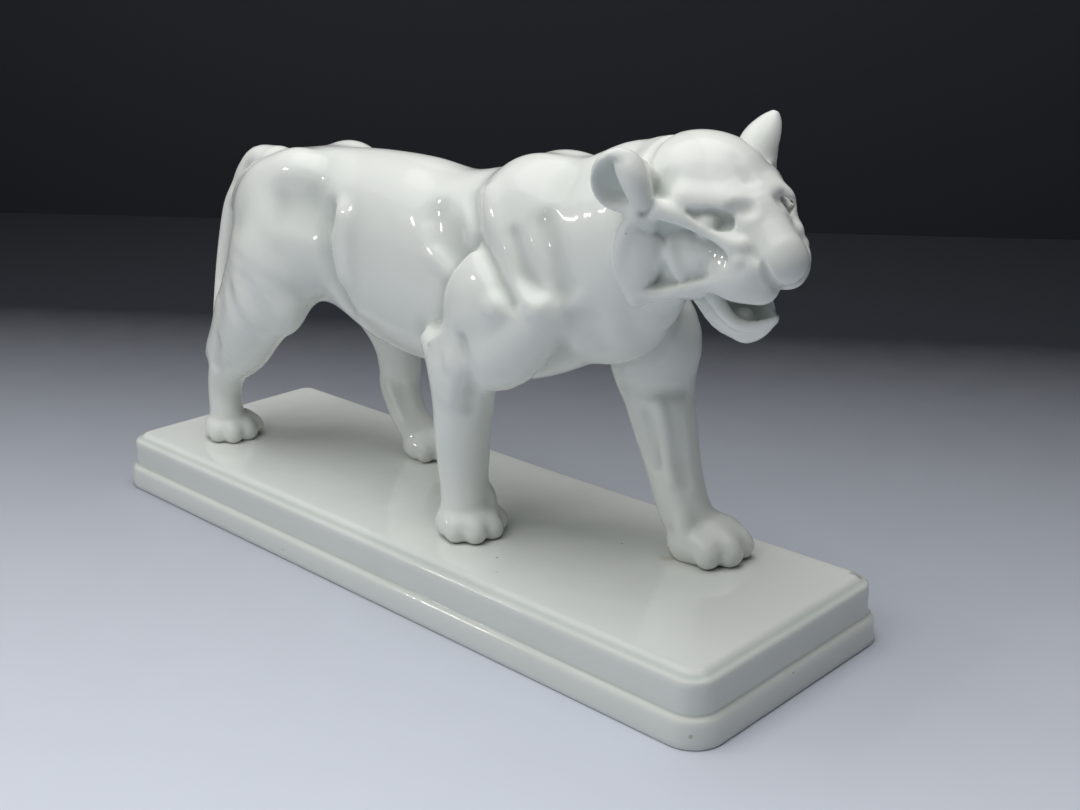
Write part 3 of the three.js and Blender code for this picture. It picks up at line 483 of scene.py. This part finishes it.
def trunk(p, now):
    top, low, half = (eased(p[:, 0], TRUNK_AT, ys) for ys in (TRUNK_TOP, TRUNK_LOW, TRUNK_HALF_WIDTH))
    h, c = (top - low) / 2, (top + low) / 2
    n = 2.2
    a, b = np.abs(p[:, 1]) / half, np.abs(p[:, 2] - c) / h
    q = (a ** n + b ** n) ** (1 / n) + 1e-6
    g = np.sqrt((a ** (n - 1) / half) ** 2 + (b ** (n - 1) / h) ** 2) / q ** (n - 1) + 1e-6
    d = (q - 1) / g
    d = -pressed(-d, 116 - p[:, 0], 14)
    d = -pressed(-d, p[:, 0] + 144, 14)
    return pressed(now, np.clip(d, -40, 60), 4)


clay.keep((-14, 0, 130), 150, trunk)
clay.ball((-76, 14, 157.5), (17, 9.5, 12), blend=9, pair=True)
clay.limb([(62, 0, 140, 31), (88, 0, 147, 30), (110, -2, 156, 26), (126, -4, 163, 20)], blend=12, thin=0.82)
clay.limb([(76, 0, 166, 8), (92, 0, 174.5, 8), (102, -1, 178.8, 7.5), (114, -2, 181, 7)], blend=11)
clay.ball((93, 0, 130.5), (21, 22, 25), blend=12)
clay.ball((63, 7, 165.5), (20, 10, 13), blend=10, pair=True)


# The legs, paws and tail.
# The right foreleg stands upright and the left one reaches forward; the right hind leg is stretched back and
# the left one is under the belly. Each paw has four round toes. The tail hangs down behind the right hock.

def paw(at, side, size=1.0):
    clay.stand = Stand(at=(*at, PLINTH_TOP), size=size, flip=side < 0)
    clay.ball((-1, 0, 6), (14.5, 15, 9.5), blend=5)
    for x, y, r in ((2.5, 11.0, 4.9), (9.4, 6.0, 5.2), (10.6, -2.6, 5.3), (6.5, -10.0, 4.9)):
        clay.limb([(x - 8, y * 0.75, 8.5, r * 0.9), (x - 2, y * 0.95, 6.6, r), (x, y, 4.6, r)], blend=1.8)
    clay.stand = WORLD


def right_foreleg():
    clay.ball((60, -14, 146), (25, 13.5, 27), blend=12, turn=(0, 12, 0))
    clay.ball((54, -25, 122), (22, 12.5, 22), blend=8, turn=(0, 20, 0))
    clay.limb([(78, -23, 126, 11), (60, -24, 108.5, 14.3), (44, -25, 103.5, 14.6)], blend=8, thin=0.9)
    clay.limb([(22, -27, 104.5, 5.5), (34.5, -25, 97, 13.0), (34.5, -24, 82, 12.2), (33.5, -24, 70, 11.3),
               (32.4, -23, 58, 10.6), (32.5, -23, 47, 9.8), (33.5, -23.5, 38, 9.6)], blend=8)
    clay.ball((39.5, -17, 39.5), (3.4, 4, 7), blend=3, turn=(0, -8, 0))
    paw((35.8, -23.2), -1, 0.92)


def left_foreleg():
    clay.ball((66, 14, 146), (25, 13.5, 27), blend=12, turn=(0, 16, 0))
    clay.ball((76, 23, 124), (22, 12, 20), blend=8, turn=(0, 20, 0))
    clay.limb([(88, 22, 124, 15), (94, 22, 110, 17), (93, 22, 100, 15)], blend=8)
    clay.limb([(92, 22, 104, 16), (94.4, 22, 92.5, 14.4), (98.6, 22, 77, 12.8), (103, 22, 61.7, 11.0),
               (106.8, 22, 50, 10.3), (109.5, 22.5, 42.6, 10.2), (113.5, 24, 35, 9.6)], blend=8)
    clay.ball((114.5, 15.5, 40.5), (4, 4, 7.5), blend=2.5, turn=(0, -14, 0))
    clay.ball((113.5, 18.5, 31), (6.5, 7, 7), blend=3)
    paw((119.5, 25.5), 1, 1.05)


def right_hind_leg():
    clay.ball((-88, -16, 132), (34, 14, 33), blend=10, turn=(0, -12, 0))
    clay.ball((-86, -23, 99), (13, 9, 12), blend=12)
    clay.limb([(-105, -17, 118, 16), (-114, -21, 100, 13.5), (-124, -24, 84, 9.5), (-133, -24, 72, 7.5)],
              blend=10, thin=0.9)
    clay.limb([(-92, -18, 118, 22), (-98, -22, 102, 19), (-105, -24, 90, 16), (-116, -24, 76, 13.5),
               (-127, -24, 66, 10.5), (-133, -24, 57.9, 9.5), (-135.6, -24, 49.5, 8.7),
               (-135.6, -24, 40, 8.9)], blend=10, thin=0.85)
    clay.limb([(-121, -24, 94, 8), (-131, -24, 81, 5.5), (-140, -24, 68, 5.0)], blend=6)
    paw((-134.6, -22), -1, 0.88)


def left_hind_leg():
    clay.ball((-78, 16, 133), (33, 14, 33), blend=10, turn=(0, 6, 0))
    clay.limb([(-76, 18, 112, 22), (-66, 22, 95, 17), (-60, 22, 80, 12.5), (-58.5, 22, 67, 10.8),
               (-59, 22, 57.6, 10.2), (-54, 22.5, 44, 9.2), (-48, 24.5, 35, 9.0)], blend=10, thin=0.85)
    paw((-43.5, 26), 1, 0.86)


def tail():
    clay.limb([(-112, 0, 158, 8), (-128, 1, 158, 6.5), (-136, 0, 151.5, 6.0), (-141.5, 0, 144, 6),
               (-147, -2, 134, 5.8), (-151.5, -5, 116, 4.8), (-152.5, -9, 98, 4.0), (-149, -15, 82, 3.2),
               (-145, -20, 72, 2.6)], blend=5)


right_foreleg()
left_foreleg()
right_hind_leg()
left_hind_leg()
tail()


# The muscles and folds.
# Over the lean body the sculptor drew the flank fold, the hollow before the hip, the shoulder blade with its
# grooves, the back edge of the upper arm, and the tendons of the forelegs and hocks. Both flanks are alike.

def both_sides(path, height, ahead=0):
    """The same stroke on the right and on the left side, which lies further forward."""
    clay.stroke(path, height)
    clay.stroke([(x + ahead, -y, z, w) for x, y, z, w in path], height)


def flanks_and_thighs():
    both_sides([(-47, -23, 145, 11), (-49, -24, 137, 12), (-48.5, -24, 129, 12), (-46.5, -23, 118, 11),
                (-41, -20.5, 107, 9)], -2.1, 6)
    both_sides([(-38, -24, 146, 12), (-39, -25, 134, 12), (-38, -24, 122, 10)], 2.2, 6)
    both_sides([(-72, -26, 147, 18), (-60, -24, 146, 20), (-50, -23, 145, 15)], -2.8, 4)
    both_sides([(-88, -28, 138, 20)], 1.6, 4)
    clay.stroke([(-92, -37, 113, 9), (-87, -36, 103, 9), (-82, -34, 94, 9)], -1.1)
    clay.stroke([(-104, -36, 106, 8), (-98, -36, 95, 8), (-93, -34, 86, 8)], -0.9)


def shoulders():
    both_sides([(20, -22, 153, 13), (27, -25, 147, 15), (36, -26, 141, 13)], -2.5, 6)
    both_sides([(37.5, -20, 163, 7), (45, -25, 156, 7.5), (48, -27, 147, 7)], -1.5, 6)
    both_sides([(46, -27, 146, 6), (39, -28, 137, 7), (33, -28, 128, 8), (28, -27, 116, 8)], -2.0, 6)
    both_sides([(24, -26, 138, 8), (31, -26, 134, 8)], 1.0, 6)
    arm = [(48.5, 149, 3), (43, 142, 2.6), (38, 135.5, 2.6), (35, 127, 2.6), (33, 118, 3),
           (25.5, 108, 3.4), (29, 103, 7), (42, 104, 12), (58, 112, 14), (72, 120, 12), (72, 130, 8),
           (64, 138.5, 4), (55, 146, 3)]
    for side, ahead in ((-1, 0), (1, 6)):
        clay.press([(x + ahead, z, w) for x, z, w in arm], -1.7, side, 48)
    both_sides([(50, -24, 166, 9), (58, -28.5, 156, 9), (66, -30, 146, 8), (73, -31, 136, 8),
                (82, -32, 129, 8)], 1.4, 6)
    both_sides([(50, -28, 148, 5), (58, -31, 141.8, 6), (65, -33, 136, 6), (72, -34.5, 130, 5.5)], -1.6, 6)
    both_sides([(68.5, -28, 153, 6), (73, -29, 144, 7), (80, -30, 135, 7)], -1.3, 6)
    both_sides([(67, -36, 128, 9)], 1.8, 6)
    both_sides([(80, -25, 158, 9), (86, -26, 149, 10), (91, -25, 138, 10)], -1.8, 4)
    both_sides([(98, -21, 125, 13), (99, -16, 113, 12)], -2.4)


def forearms_and_hocks():
    clay.stroke([(43, -39, 104, 7), (45, -39, 97, 7), (41, -37, 86, 7)], 1.1)
    clay.stroke([(49.5, -38, 113, 5), (53, -38, 102, 6), (50, -34, 92, 6), (46, -31, 82, 5)], -1.7)
    clay.stroke([(-121.5, -33, 78, 8), (-128, -32.5, 66, 7)], -1.5)
    clay.stroke([(89, 9, 92, 5), (98, 7.5, 92.5, 5.5), (106, 11, 92, 5.5), (110, 20, 91, 5)], -1.2)
    clay.stroke([(105, 11, 88, 4.5), (107, 12, 77, 4.5), (108.3, 12, 66, 4.5), (109.8, 13, 57, 4.5)], 1.3)
    clay.stroke([(98.5, 9, 83, 6), (101, 9.5, 73, 6), (103.5, 10.5, 64, 5)], -1.9)
    clay.stroke([(91.5, 11, 84, 4), (96, 12, 72, 4.5), (100.5, 13, 61, 4)], 0.9)
    clay.stroke([(112.5, 16, 82, 5), (113.5, 16, 67, 5), (115, 16, 56, 4.5)], -1.1)
    clay.stroke([(-57, 13, 61, 4.5), (-53, 13, 52, 4.5), (-49.5, 14.5, 44, 4.5)], 1.2)
    clay.stroke([(-50.5, 14.5, 60, 6), (-46.5, 15.5, 51, 6)], -1.7)


flanks_and_thighs()
shoulders()
forearms_and_hocks()


# The head.
# A broad skull with a heavy muzzle, hollow cheeks edged by a ruff, deep-set eyes and the mouth half open on
# the tongue. It is carried forward and turned a little to the right.

HEAD_AT = (138.5, -5, 165.3)
HEAD_TURN = {"yaw": -9.5, "pitch": 14.2, "roll": 7.4}


def skull():
    clay.ball((-9, 0, 3.5), (25, 23, 20), blend=9)
    clay.ball((-3.5, 1, 17.4), (16, 15, 9.2), blend=9)
    clay.limb([(0, 0, 6.5, 16), (12, 0, 5.4, 13.4), (22, 0, 3.4, 10.2), (30, 0, 0.4, 8.6)], blend=7)
    clay.ball((8, 0, 8.8), (11, 12, 9.2), blend=7)
    clay.limb([(19, 4.6, 10.8, 3.8), (13.5, 9.6, 12.2, 4.8), (5, 15.6, 11.2, 5.4)], blend=8, pair=True)
    clay.ball((16.5, 13, 8), (4.6, 4.6, 6.5), blend=5)


def cheeks():
    clay.ball((2, 16, -9), (18, 9, 15), blend=8, turn=(-14, 0, 0), pair=True)
    clay.ball((14, 12.5, -3), (12, 6.5, 8), blend=7, turn=(-16, 0, 0), pair=True)
    clay.limb([(-5, 27.4, 7, 3), (-9, 29.4, -3, 3.3), (-9.6, 29.0, -15, 3.3), (-4.4, 26.4, -25, 2.8)],
              blend=8, pair=True)
    clay.ball((-4.5, 24.4, -9), (7, 5.4, 15), blend=8, pair=True)
    clay.limb([(-4.4, 26.6, -25, 2.0), (4, 21.9, -21, 2.0), (14, 17.5, -15, 2.0), (22, 13.4, -10, 2.6)],
              blend=4, pair=True)
    clay.limb([(24, 8.8, 0.5, 5.6), (29.5, 7.6, -3, 5.4)], blend=6, pair=True)
    edge = [(-6, 4, 9), (0, 6.4, 7), (5.7, 7.4, 5.5), (10.7, 7.2, 4), (15, 5.8, 3), (21, 3.8, 2.4),
            (24.4, 1.8, 2), (25.8, -1.6, 2), (25.0, -5.6, 2), (20.8, -9.2, 2), (14.3, -13.8, 2.1),
            (7.7, -18.0, 2.6), (1.8, -21.2, 5), (-2.2, -21.5, 9), (-5.4, -16, 12), (-7, -9, 13),
            (-7.6, -2, 12)]
    for side in (1, -1):
        clay.press(edge, 3.4, side, 30)
    clay.limb([(-6, 27.0, 8.6, 3.2), (1, 23.6, 9.0, 3.2), (8, 19.8, 8.0, 2.8), (13.5, 16.8, 5.9, 2.4),
               (18, 14.8, 4.6, 2.2), (23, 12.6, 3.4, 2.6)], blend=4, pair=True)
    clay.stroke([(4.2, 23, 0, 4.2), (5.8, 22, -7, 5), (9, 20.5, -13, 4.6)], 1.4, pair=True)
    clay.stroke([(-1, 25, -3, 5.5), (-1.6, 24.5, -10, 6), (0, 23, -15, 5)], -0.9, pair=True)
    clay.stroke([(12, 18.6, 2.0, 5), (19, 16.2, -0.6, 5), (17, 17, -6, 4.5)], -1.0, pair=True)
    clay.stroke([(23.6, 15, -2.6, 3.2), (21, 16, -6.4, 3.2), (15, 18.6, -10.6, 3.2)], -0.9, pair=True)


def mouth():
    clay.limb([(-6, 0, -12, 15), (6, 0, -20, 11), (14.6, 0, -27.4, 9.0), (21.4, 0, -29.2, 7.0)], blend=6,
              thin=1.05)
    clay.limb([(15, 9.0, -20.4, 2.8), (20.0, 8.4, -24.2, 2.5), (24, 6.9, -26.6, 2.3), (28, 4.6, -26.4, 2.2),
               (31, 2.4, -24.2, 1.9), (32.4, 0.4, -21.6, 1.7)], blend=3, pair=True)
    clay.limb([(23, 0, -31, 5), (28, 0, -28.2, 3.6), (31.4, 0, -24, 2.2)], blend=4)
    clay.limb([(13, 0, -14.5, 4.0), (19.5, 0, -18.4, 6.4), (25.4, 0, -20.4, 6.6), (32, 0, -15.4, 5.2)],
              blend=1.2, thin=1.12, cut=True)
    clay.ball((22.4, -1.6, -26.4), (3.4, 2.8, 2.6), blend=1.2)


def muzzle():
    clay.ball((23.5, 9.2, -8.0), (11, 7.8, 9.2), blend=5, turn=(-8, 0, 0), pair=True)
    clay.ball((28.4, -5.2, -11.0), (8.6, 6.6, 5.8), blend=3)
    clay.ball((28.4, 5.2, -8.8), (8.4, 6.4, 5.2), blend=3)
    clay.ball((33.2, 0, -2.4), (7.6, 8.8, 7.2), blend=5)
    clay.stroke([(34.6, 8.9, 0.4, 1.6), (36.0, 8.2, -2.6, 2.2), (37.0, 5.8, -6.0, 2.6),
                 (37.6, 3.0, -8.2, 2.8), (37.8, 0, -9.2, 2.8)], -2.3, pair=True)
    clay.stroke([(38.6, 0, -10, 2.0), (37, 0, -15, 2.4)], -1.2)
    clay.stroke([(26.6, 11.6, 4.4, 4.2)], 0.9, pair=True)
    clay.stroke([(28.2, 14.2, 0, 3.6)], 0.8, pair=True)
    clay.stroke([(31, 10.6, 3.2, 3.6), (33, 9.6, 1.6, 3)], -0.6, pair=True)


def eyes():
    clay.stroke([(21.4, 5.8, 12.6, 5.5), (19.4, 9.0, 12.0, 5.5)], -1.6, pair=True)
    clay.limb([(10.0, 19.2, 10.6, 0.7), (13, 16.8, 9.6, 1.9), (16.4, 13.9, 9.2, 2.8), (19.2, 11.4, 9.2, 2.6)],
              blend=2.5, cut=True, pair=True)
    clay.ball((12.0, 13.0, 6.0), (5.2, 5.2, 4.9), blend=1.8, pair=True)
    clay.limb([(9.6, -19.4, 11.0, 0.6), (12.4, -17.0, 11.4, 1.1), (15.4, -14.0, 11.6, 1.4),
               (18.0, -11.2, 11.3, 1.1)], blend=1.2, cut=True)
    clay.stroke([(9.6, 19.4, 11.0, 2), (12.4, 17.0, 11.4, 2.4), (15.4, 14.0, 11.6, 2.6),
                 (18.2, 10.8, 11.3, 2.4)], -1.2)
    clay.stroke([(17.2, 12.6, 7.4, 3.4)], -0.8, pair=True)
    clay.stroke([(20.6, 8.6, 10.4, 2.4), (22.8, 9.0, 6.8, 2.4)], 0.8, pair=True)
    clay.stroke([(-0.8, 27.6, 10.4, 3.6), (-2.4, 27.8, 8.4, 3.4)], -2.0, pair=True)
    clay.stroke([(9, 0, 24, 6), (15, 0, 20, 5)], -0.5)
    clay.stroke([(-16, 19, 17, 4.5), (-20.5, 11, 21, 4.5), (-22.5, 0, 22.5, 4.5)], -2.6, pair=True)


def right_ear():
    at, turn = np.array((-10.8, -32.2, 15.8)), (-50, 4, -4)
    leaf = turned(*turn)
    clay.ball((at[0] - 1, at[1] + 6, at[2] - 2.4), (6.5, 9, 9), blend=4, turn=(-20, 0, 0))
    clay.ball(at - leaf @ (1.9, 0, 0), (4.6, 9.6, 11.2), blend=3.0, turn=turn)
    clay.ball(at + leaf @ (2.9, -1.6, -0.4), (6.6, 7.4, 9.6), blend=1.0, turn=turn, cut=True)
    clay.limb([(-12.2, -30.0, 22.4, 3.0), (-8.6, -29.8, 20.6, 4.6), (-5.8, -28.8, 16.6, 4.8),
               (-4.6, -27.4, 11.6, 4.0)], blend=2.2)


def left_ear():
    clay.limb([(-10, 26, 10, 7.6), (-11, 29.6, 14.5, 7.6), (-11.4, 33, 19, 5.6), (-11.8, 35.4, 23, 2.6)],
              blend=5, thin=0.85)
    clay.limb([(-5.5, 36.5, 14.5, 4.6), (-7, 38.2, 19, 3.2)], blend=2, cut=True)


clay.stand = Stand(at=HEAD_AT, swell=2.2, **HEAD_TURN)
skull()
cheeks()
mouth()
muzzle()
eyes()
clay.stand = Stand(at=HEAD_AT, **HEAD_TURN)
right_ear()
left_ear()
clay.stand = WORLD
clay.keep((0, 0, PLINTH_TOP), 400, lambda p, now: np.maximum(now, PLINTH_TOP - p[:, 2]))


# The fired figure.
# The clay's surface is skinned with small four-sided faces, finer over the head, and slid evenly over the
# form. The skin is one closed piece, standing on the plinth by its four soles and glazed in the same white.

def skinned(field, axes):
    """One vertex for each cell that the surface passes through, one face for each grid edge that it cuts."""
    inside = field < 0
    n = np.array(field.shape) - 1
    corners = [(i, j, k) for i in (0, 1) for j in (0, 1) for k in (0, 1)]
    count = sum(inside[i:i + n[0], j:j + n[1], k:k + n[2]].astype(np.int8) for i, j, k in corners)
    cells = np.argwhere((count > 0) & (count < 8))
    index = np.full(n, -1, np.int64)
    index[tuple(cells.T)] = np.arange(len(cells))
    total, hits = np.zeros((len(cells), 3)), np.zeros(len(cells))
    for low in corners:
        for axis in range(3):
            if low[axis]:
                continue
            high = np.array(low) + np.eye(3, dtype=int)[axis]
            fa, fb = (field[tuple((cells + end).T)].astype(float) for end in (low, high))
            crossed = (fa < 0) != (fb < 0)
            t = np.where(crossed, fa / np.where(crossed, fa - fb, 1), 0)
            pa, pb = (np.stack([axes[i][cells[:, i] + end[i]] for i in range(3)], 1) for end in (low, high))
            total += np.where(crossed[:, None], pa + (pb - pa) * t[:, None], 0)
            hits += crossed
    faces = []
    for axis in range(3):
        u, v = [(1, 2), (2, 0), (0, 1)][axis]
        du, dv = np.eye(3, dtype=int)[u], np.eye(3, dtype=int)[v]
        near, far = [slice(None)] * 3, [slice(None)] * 3
        near[axis], far[axis] = slice(0, -1), slice(1, None)
        a, b = inside[tuple(near)], inside[tuple(far)]
        for leaving in (True, False):
            e = np.argwhere(a & ~b if leaving else ~a & b)
            e = e[(e[:, u] > 0) & (e[:, v] > 0) & (e[:, u] < n[u]) & (e[:, v] < n[v])]
            quad = np.stack([index[tuple((e - d).T)] for d in (du + dv, dv, 0 * du, du)], 1)
            faces.append(quad if leaving else quad[:, ::-1])
    return total / hits[:, None], np.vstack(faces)


def averaged(values, edges, count):
    """The mean over each vertex's neighbours."""
    near, far = edges.T
    sums_of = [np.bincount(near, values[far, i], len(values)) for i in range(values.shape[1])]
    return np.stack(sums_of, 1) / count[:, None]


FINE_ROUNDS = 13
BROAD_SHADE_ROUNDS = 69


def settled(points, faces, rounds):
    """Slides the vertices evenly apart over the surface and back onto it; gives their hollowness as well."""
    edges = np.vstack([faces[:, [i, (i + 1) % 4]] for i in range(4)])
    edges = np.vstack([edges, edges[:, ::-1]])
    count = np.bincount(edges[:, 0], minlength=len(points))
    for turn in range(rounds):
        points = points + 0.5 * (averaged(points, edges, count) - points)
        for _ in range(2 if turn == rounds - 1 else 1):
            g = clay.slope(points)
            step = clay.value(points) / np.maximum((g * g).sum(1), 0.05)
            points = points - np.clip(step, -1.5, 1.5)[:, None] * g
    g /= np.linalg.norm(g, axis=1)[:, None]
    # Hollowness at a fine and a broad scale; the broad one paints shade into large concave areas like the
    # chest.
    soft, depth = points, 0
    for turn in range(BROAD_SHADE_ROUNDS + 1):
        soft = soft + 0.6 * (averaged(soft, edges, count) - soft)
        if turn in (FINE_ROUNDS, BROAD_SHADE_ROUNDS):
            share = 0.8 if turn == FINE_ROUNDS else 0.3
            depth = depth + ((soft - points) * g).sum(1)[:, None] * share
    for _ in range(2):
        depth = averaged(depth, edges, count)
    return points, np.clip(depth[:, 0] / 0.9 + 0.12, 0, 1)


def tiger_piece():
    coarse = 1.0
    x = np.concatenate([np.arange(-158, 104, 1.7 * coarse), np.arange(104, 186, 0.85 * coarse)])
    y = np.arange(-48, 48, 1.1 * coarse)
    z = np.concatenate([np.arange(23.2, 125, 1.5 * coarse), np.arange(125, 200, 1.05 * coarse)])
    axes = [x, y, z]
    points, faces = skinned(clay.grid(axes), axes)
    points, hollow = settled(points, faces, 2)
    points[:, 2] = np.maximum(points[:, 2], PLINTH_TOP)
    marks = [
        ((110, 14, 47), 0.5, 0.5, 900, (0.1, 0.08, 0.06), 0.8, 0.2),
        ((110.5, 11.5, 27), 4.0, 1.2, 300, (0.50, 0.44, 0.28), 0.5, 0),
        ((-147, -31, 27), 3.4, 1.4, 300, (0.36, 0.30, 0.19), 0.6, 0),
        ((-123.5, -12, 27), 3.4, 1.4, 300, (0.36, 0.30, 0.19), 0.6, 0),
        ((52, -16, 27), 2.8, 1.4, 300, (0.40, 0.35, 0.24), 0.5, 0),
        ((23.5, -32, 28), 2.6, 1.4, 300, (0.45, 0.40, 0.30), 0.5, 0),
    ]
    # The dark pooled colour is pooled glaze and painted shade in the hollows together.
    material = glazed("tiger_glaze", thin=(0.84, 0.865, 0.815), pooled_and_shaded=(0.42, 0.475, 0.43), pooling_and_shade=0.6,
                      drift=0.3, specks=0.010, marks=marks)
    return shown("tiger_glazed", points, faces, hollow, material, "tiger")


tiger_piece()


# The table and the light.
# The figure stands on a plain pale table whose colour darkens towards a dark wall, a fade of painted shade.
# Soft light falls from close overhead and a little from the front, and three small lamps put the sharp glints
# on the glaze.

# The table's pale tone and the dark tone it fades to, which paints its shade towards the wall.
TABLE_TONE_AND_PAINTED_SHADE = ((0.69, 0.725, 0.805), (0.033, 0.037, 0.044))
WALL_TONE = (0.025, 0.028, 0.034)
TOWARDS_WALL = (-0.55, 0.83, 0)


def stage_plane(name, corners, colour, far_colour, start, end):
    """A plain sheet that fades from one colour to another towards the wall, from start to end in metres."""
    mesh = bpy.data.meshes.new(name)
    mesh.from_pydata(corners, [], [(0, 1, 2, 3)])
    material = bpy.data.materials.new(name)
    material.use_nodes = True
    tree = material.node_tree
    shader = tree.nodes["Principled BSDF"]
    place = tree.nodes.new("ShaderNodeTexCoord").outputs["Object"]
    noise = add(tree, "ShaderNodeTexNoise", Vector=place, Scale=40.0, Detail=4.0).outputs[0]
    away = add(tree, "ShaderNodeVectorMath", {"operation": "DOT_PRODUCT"})
    tree.links.new(place, away.inputs[0])
    away.inputs[1].default_value = TOWARDS_WALL
    wander = sums(tree, "MULTIPLY", noise, 0.02)
    # On the table this fade from the pale to the dark tone is painted shade.
    shade = add(tree, "ShaderNodeMapRange", Value=sums(tree, "ADD", away.outputs["Value"], wander))
    shade.inputs["From Min"].default_value = start
    shade.inputs["From Max"].default_value = end
    tree.links.new(mixed(tree, shade.outputs[0], (*colour, 1), (*far_colour, 1)), shader.inputs["Base Color"])
    shader.inputs["Roughness"].default_value = 0.6
    shader.inputs["Specular IOR Level"].default_value = 0.2
    mesh.materials.append(material)
    plane = bpy.data.objects.new(name, mesh)
    bpy.context.scene.collection.objects.link(plane)


def soft_light(name, place, size, power, glints=True):
    lamp = bpy.data.lights.new(name, "AREA")
    lamp.shape = "DISK"
    lamp.size, lamp.energy = size, power
    light = bpy.data.objects.new(name, lamp)
    bpy.context.scene.collection.objects.link(light)
    light.location = place
    light.visible_glossy = glints
    light.rotation_euler = (Vector((0, 0, 0.1)) - Vector(place)).to_track_quat("-Z", "Y").to_euler()


stage_plane("table_top", [(-5, -5, 0), (5, -5, 0), (5, 5, 0), (-5, 5, 0)], *TABLE_TONE_AND_PAINTED_SHADE, -0.2, 0.38)
stage_plane("dark_wall", [(-2.9, -1.06, 0), (2.1, 2.26, 0), (2.1, 2.26, 0.3), (-2.9, -1.06, 0.3)], WALL_TONE,
            WALL_TONE, 0, 1)
soft_light("ceiling_light", (0, -0.1, 1.0), 1.6, 5)
soft_light("overhead_light", (0, -0.1, 1.0), 0.8, 5.6, glints=False)
soft_light("front_light", (0, -0.8, 0.85), 0.8, 1.9, glints=False)
soft_light("side_glint_light", (-0.69, -0.69, 0.52), 0.04, 0.45)
soft_light("side_glint_light_twin", (-0.64, -0.74, 0.53), 0.03, 0.3)
soft_light("front_glint_light", (-0.146, -1.036, 0.34), 0.03, 0.2)
world = bpy.data.worlds.new("studio")
bpy.context.scene.world = world
world.use_nodes = True
world.node_tree.nodes["Background"].inputs[0].default_value = (0.014, 0.017, 0.022, 1)
world.node_tree.nodes["Background"].inputs[1].default_value = 1.0


# The camera.
# It stands low at the tiger's right front, turned 44 degrees from the long side, looking 19 degrees down.

CAMERA_AT = (410.42, -367.05, 250.99)
CAMERA_AZIMUTH = 44.228
CAMERA_ELEVATION = 18.602
CAMERA_ROLL = -0.636

camera_data = bpy.data.cameras.new("camera")
camera_data.sensor_width = 36
camera_data.lens = 45.44
camera_data.clip_start = 0.02
camera_data.clip_end = 20
camera = bpy.data.objects.new("camera", camera_data)
bpy.context.scene.collection.objects.link(camera)
camera.location = [n / 1000 for n in CAMERA_AT]
a, e = math.radians(CAMERA_AZIMUTH), math.radians(CAMERA_ELEVATION)
backward = Vector((math.sin(a) * math.cos(e), -math.cos(a) * math.cos(e), math.sin(e)))
level = backward.to_track_quat("Z", "Y").to_matrix()
camera.rotation_euler = (level @ Matrix.Rotation(math.radians(CAMERA_ROLL), 3, "Z")).to_euler()
bpy.context.scene.camera = camera
bpy.context.scene.view_settings.view_transform = "Standard"
